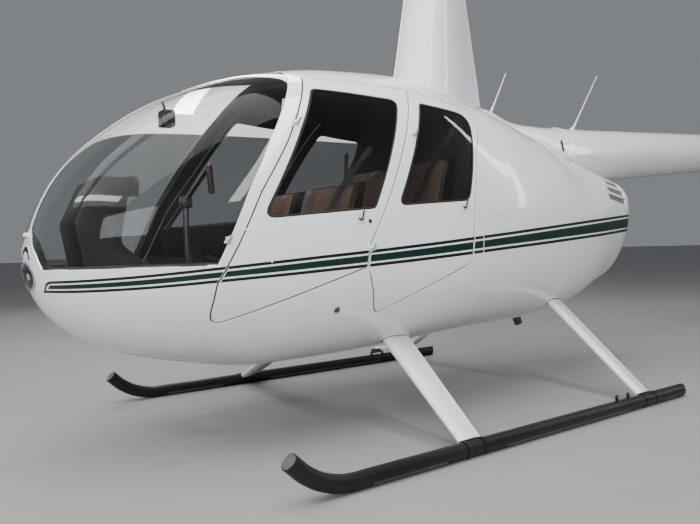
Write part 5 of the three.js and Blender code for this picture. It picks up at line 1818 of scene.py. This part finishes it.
for share in (0.22, 0.72):
    at = slopeLow + slope * share * slopeLong + slopeOut * 0.001
    corners = [at + np.array([sx * 0.085, 0, 0]) + slope * sz * 0.019
               for sx, sz in ((-1, -1), (1, -1), (1, 1), (-1, 1))]
    screens.append(plate(corners, slopeOut * 0.006, 0.002))
    for sx in (-0.112, 0.112):
        knobs.append(lathe([(0, 0.013), (0.012, 0.012), (0.014, 0.01)],
                           at + np.array([sx, 0, 0]), slopeOut, 20))
switches = [rod(np.array([x, -1.7245, 0.61]), np.array([x, -1.712, 0.616]), 0.004, 10)
            for x in np.linspace(-0.11, 0.11, 7)]
makePiece("console_pod", "root",
          [("blackPlastic", merged(podShell, *bezels)), ("lining", hood),
           ("dialFace", merged(*faces, *screens)), ("marking", merged(*marks)), ("redPlastic", needles[4]),
           ("marking", merged(*needles[:4], *needles[5:])), ("dialGlass", merged(*glass)),
           ("blackPlastic", merged(*knobs)), ("steel", merged(*switches))], ("instrument_console",))

stick = {"foot": (0, -1.58, 0.524), "top": (0, -1.625, 1.15), "half": 0.28, "tilt": 0.13}
stem = tube(smoothLine([stick["foot"], (0, -1.6, 0.7), (0, -1.625, 0.92), stick["top"]], 0.012), 0.0135, 18)
barEnds = [np.array(stick["top"]) + (side * stick["half"], 0, side * stick["tilt"]) for side in (-1, 1)]
joint = block((-0.026, -1.651, 1.118), (0.026, -1.599, 1.172), 0.006)
pin = rod((0, -1.656, 1.15), (0, -1.594, 1.15), 0.009, 16)
folds = [(0.01 + 0.01 * k, 0.048 - 0.004 * k - 0.005 * (k % 2)) for k in range(7)]
bellows = lathe([(0, 0.052), (0.006, 0.052), *folds, (0.082, 0.016)], (0, -1.58, 0.5215), (0, 0, 1), 32)
ribs = [(0.022 + 0.016 * k, 0.015 - 0.0014 * (k % 2)) for k in range(6)]
grips, tops = [], []
for side, end in zip((-1, 1), barEnds):
    down = unit(np.array([side * 0.012, 0.006, -0.126]))
    grips.append(lathe([(-0.008, 0.01), (-0.004, 0.0145), (0.016, 0.015), *ribs, (0.116, 0.015),
                        (0.119, 0.011)], end, down, 22))
    tops.append(lathe([(0.004, 0.012), (0.01, 0.0125), (0.016, 0.009)], end, -down, 18))
makePiece("cyclic_control", "root",
          [("darkSteel", merged(stem, rod(*barEnds, 0.0105, 16), joint)), ("steel", pin),
           ("rubber", merged(bellows, *grips)), ("redPlastic", merged(*tops))], ("cyclic_stick",))

boxTop = 0.715
pivot = block((-0.013, -1.179, boxTop + 0.0005), (0.013, -1.131, boxTop + 0.039), 0.004)
lever = rod((0, -1.155, boxTop + 0.03), (0, -1.5, boxTop + 0.15), 0.0108, 18)
grip = lathe([(0, 0.012), (0.003, 0.0165), (0.08, 0.0168), (0.082, 0.0185), (0.104, 0.0185), (0.107, 0.015)],
             (0, -1.43, boxTop + 0.1255), (0, -0.945, 0.327), 24)
makePiece("collective_control", "root",
          [("darkSteel", merged(lever, pivot)), ("rubber", grip)], ("collective_lever",))

shaft = rod((-0.32, -1.9, 0.59), (0.32, -1.9, 0.59), 0.0098, 16)
ribs = [(-0.036 + 0.006 * k, 0.0108 - 0.0012 * (k % 2)) for k in range(13)]
arms, treads = [], []
for x in (-0.305, -0.205, 0.205, 0.305):
    arms.append(rod((x, -1.9, 0.59), (x, -1.925, 0.72), 0.0078, 12))
    treads.append(lathe([(-0.042, 0.008), (-0.04, 0.0108), *ribs, (0.04, 0.0108), (0.042, 0.008)],
                        (x, -1.925, 0.72), (1, 0, 0), 16))
feet = [block((x - 0.006, -1.912, 0.5205), (x + 0.006, -1.888, 0.5995), 0.002) for x in (-0.195, 0.195)]
makePiece("pedal_set", "root",
          [("aluminium", merged(shaft, *arms, *feet)), ("rubber", merged(*treads))], ("pedals",))

case = block((-0.036, -1.7378, 1.4982), (0.036, -1.6762, 1.5758), 0.007, 3)
window = block((-0.024, -1.6775, 1.512), (0.024, -1.6745, 1.546), 0.002)
card = rod((0, -1.679, 1.529), (0, -1.6755, 1.529), 0.019, 28)
bracket = rod((0, -1.712, 1.572), onSkinTop(-1.735, 0.012), 0.0055, 12)
makePiece("compass_case", "root",
          [("blackPlastic", merged(case, bracket)), ("marking", card), ("dialGlass", window)], ("compass",))
print("cabin made")

# Nose: oval landing lamp, air inlet and pitot tube; then small things on the skin

nose = {"lampHigh": 0.818, "lampHalf": (0.11, 0.056), "bulbs": 0.052, "inletHigh": 0.89, "pitotHigh": 0.992}


def onNose(x, z):
    # The point of the skin seen from ahead at this x and z, and the way out of the skin there
    x, z = np.broadcast_arrays(np.asarray(x, float), np.asarray(z, float))
    angle = noseAngle(np.abs(x), z)
    around = sideAroundAt(angle, z)
    way = np.stack([np.sign(x), np.ones(x.shape), np.ones(x.shape)], -1)
    return hullPoint(angle, around) * np.where(way == 0, 1, way), hullNormal(angle, around) * way


def nosePatch(rows):
    # A patch over the lamp; rows: share of the lamp's oval, height over the skin
    a = 2 * np.pi * np.arange(48) / 48
    reach, tall = nose["lampHalf"]
    rings = []
    for share, lift in rows:
        where, out = onNose(reach * share * np.cos(a), lamp + tall * share * np.sin(a))
        rings.append(where + out * lift)
    return loft(rings)


lamp = nose["lampHigh"]
back = nosePatch([(0.99, -0.002), (0.985, 0.0012), (0.3, 0.0012), (0.02, 0.0012)])
lens = nosePatch([(0.99, 0.0014), (0.97, 0.0045), (0.8, 0.0062), (0.5, 0.0072), (0.02, 0.0075)])
a = 2 * np.pi * np.arange(60) / 60
edge, out = onNose(nose["lampHalf"][0] * np.cos(a), lamp + nose["lampHalf"][1] * np.sin(a))
bezel = tube(edge + out * 0.002, 0.0048, 10, closed=True)
bulbs, cups = [], []
for side in (-1, 1):
    at, out = onNose(side * nose["bulbs"], lamp)
    cups.append(lathe([(0.001, 0.046), (0.0022, 0.046), (0.002, 0.04), (0.0013, 0.02)], at, out, 40))
    bulbs.append(lathe([(0.0012, 0.015), (0.0036, 0.014), (0.0042, 0.01)], at, out, 28))
makePiece("landing_lamp", "root",
          [("reflector", back), ("darkSteel", merged(*cups)), ("lampLens", merged(*bulbs)),
           ("aluminium", bezel), ("clearAcrylic", lens)], ("landing_light",))

# Air inlet: a thin black sheet in an arch on the skin stands for its opening, painted shade, with a white
# brow above it
arch = smoothLine([(-0.074, 0.0), (-0.064, 0.02), (-0.036, 0.038), (0.0, 0.043), (0.036, 0.038),
                   (0.064, 0.02), (0.074, 0.0)], 0.006)
where, out = onNose(arch[:, 0], arch[:, 1] + nose["inletHigh"])
inletShade = tube(where + out * 0.0002, 0.0105, 10, flat=0.14, facing=out)
where, out = onNose(arch[:, 0] * 1.16, arch[:, 1] * 1.08 + nose["inletHigh"] + 0.01)
brow = tube(where + out * 0.0002, 0.0036, 10, flat=0.6, facing=out)
at, _ = onNose(0.0, nose["pitotHigh"])
pitot = lathe([(-0.004, 0.012), (0.003, 0.012), (0.006, 0.0085), (0.015, 0.008), (0.019, 0.006)], at,
              (0, -1, 0.05), 24)
makePiece("nose_fittings", "root", [("rubber", inletShade), ("whitePaint", merged(brow, pitot))])

port = []
at, out = onSkin(-1.156, 0.625), skinNormal(-1.156, 0.625)[0]
port.append(("aluminium", lathe([(-0.002, 0.0185), (0.0025, 0.018), (0.0035, 0.0155), (0.0032, 0.0125),
                                 (0.0006, 0.0115)], at, out, 32)))
port.append(("rubber", lathe([(0.0002, 0.0122), (0.0009, 0.012)], at, out, 32)))
port.append(("steel", rod(at - out * 0.001, at + out * 0.0028, 0.0045, 6)))
rail = skinBead([(-1.185, 1.7385), (-0.88, 1.7395), (-0.575, 1.733), (-0.355, 1.7035), (-0.15, 1.6835),
                 (0.02, 1.663)], 0.0036, -0.0005, 0.7)
port.append(("whitePaint", rail))
marks = [(-0.028, 1.044), (-0.118, 1.064)]
places = np.array([onSkin(y, z) for y, z in marks])
port.append(("steel", domes(places, skinNormal(*zip(*marks)), 0.0062, 0.0018)))
# Rivets along the joint between cabin and engine cowl
joint = evenly(np.array([p for p in cabinBack if 0.5 < p[1] < 1.8] + [(0.0, 1.66)])[:2], 0.045) + (0.012, 0)
places = onSkin(joint[:, 0], joint[:, 1])
port.append(("whitePaint", domes(places, skinNormal(joint[:, 0], joint[:, 1]), 0.003, 0.001)))
makePiece("skin_fittings", "root", paired(port))

belly = [("rubber", rod((0.355, -0.79, 0.372), (0.395, -0.765, 0.38), 0.011, 16)),
         ("whitePaint", rod((0.37, -0.78, 0.39), (0.43, -0.735, 0.399), 0.007, 16)),
         ("aluminium", lathe([(-0.01, 0.016), (0.012, 0.015), (0.014, 0.01)], (0.0, -1.35, 0.345),
                             (0, 0, -1), 24)),
         ("whitePaint", lathe([(-0.02, 0.03), (0.05, 0.018), (0.075, 0.006)], (0.0, -0.3, 0.385),
                              (0, 0.3, -1), 20))]
makePiece("belly_fittings", "root", belly)
print("fittings made")

# Nodes kept as they are get their finish here
kept = {"cabin_floor": "carpet", "firewall": "wallCloth", "engine_block": "castMetal",
        "exhaust_pipe": "darkSteel"}
for node, finish in kept.items():
    mesh = bpy.data.objects[node].data
    mesh.materials.clear()
    mesh.materials.append(finishes[finish])

makeCamera()
makeStudio()
print("finished")
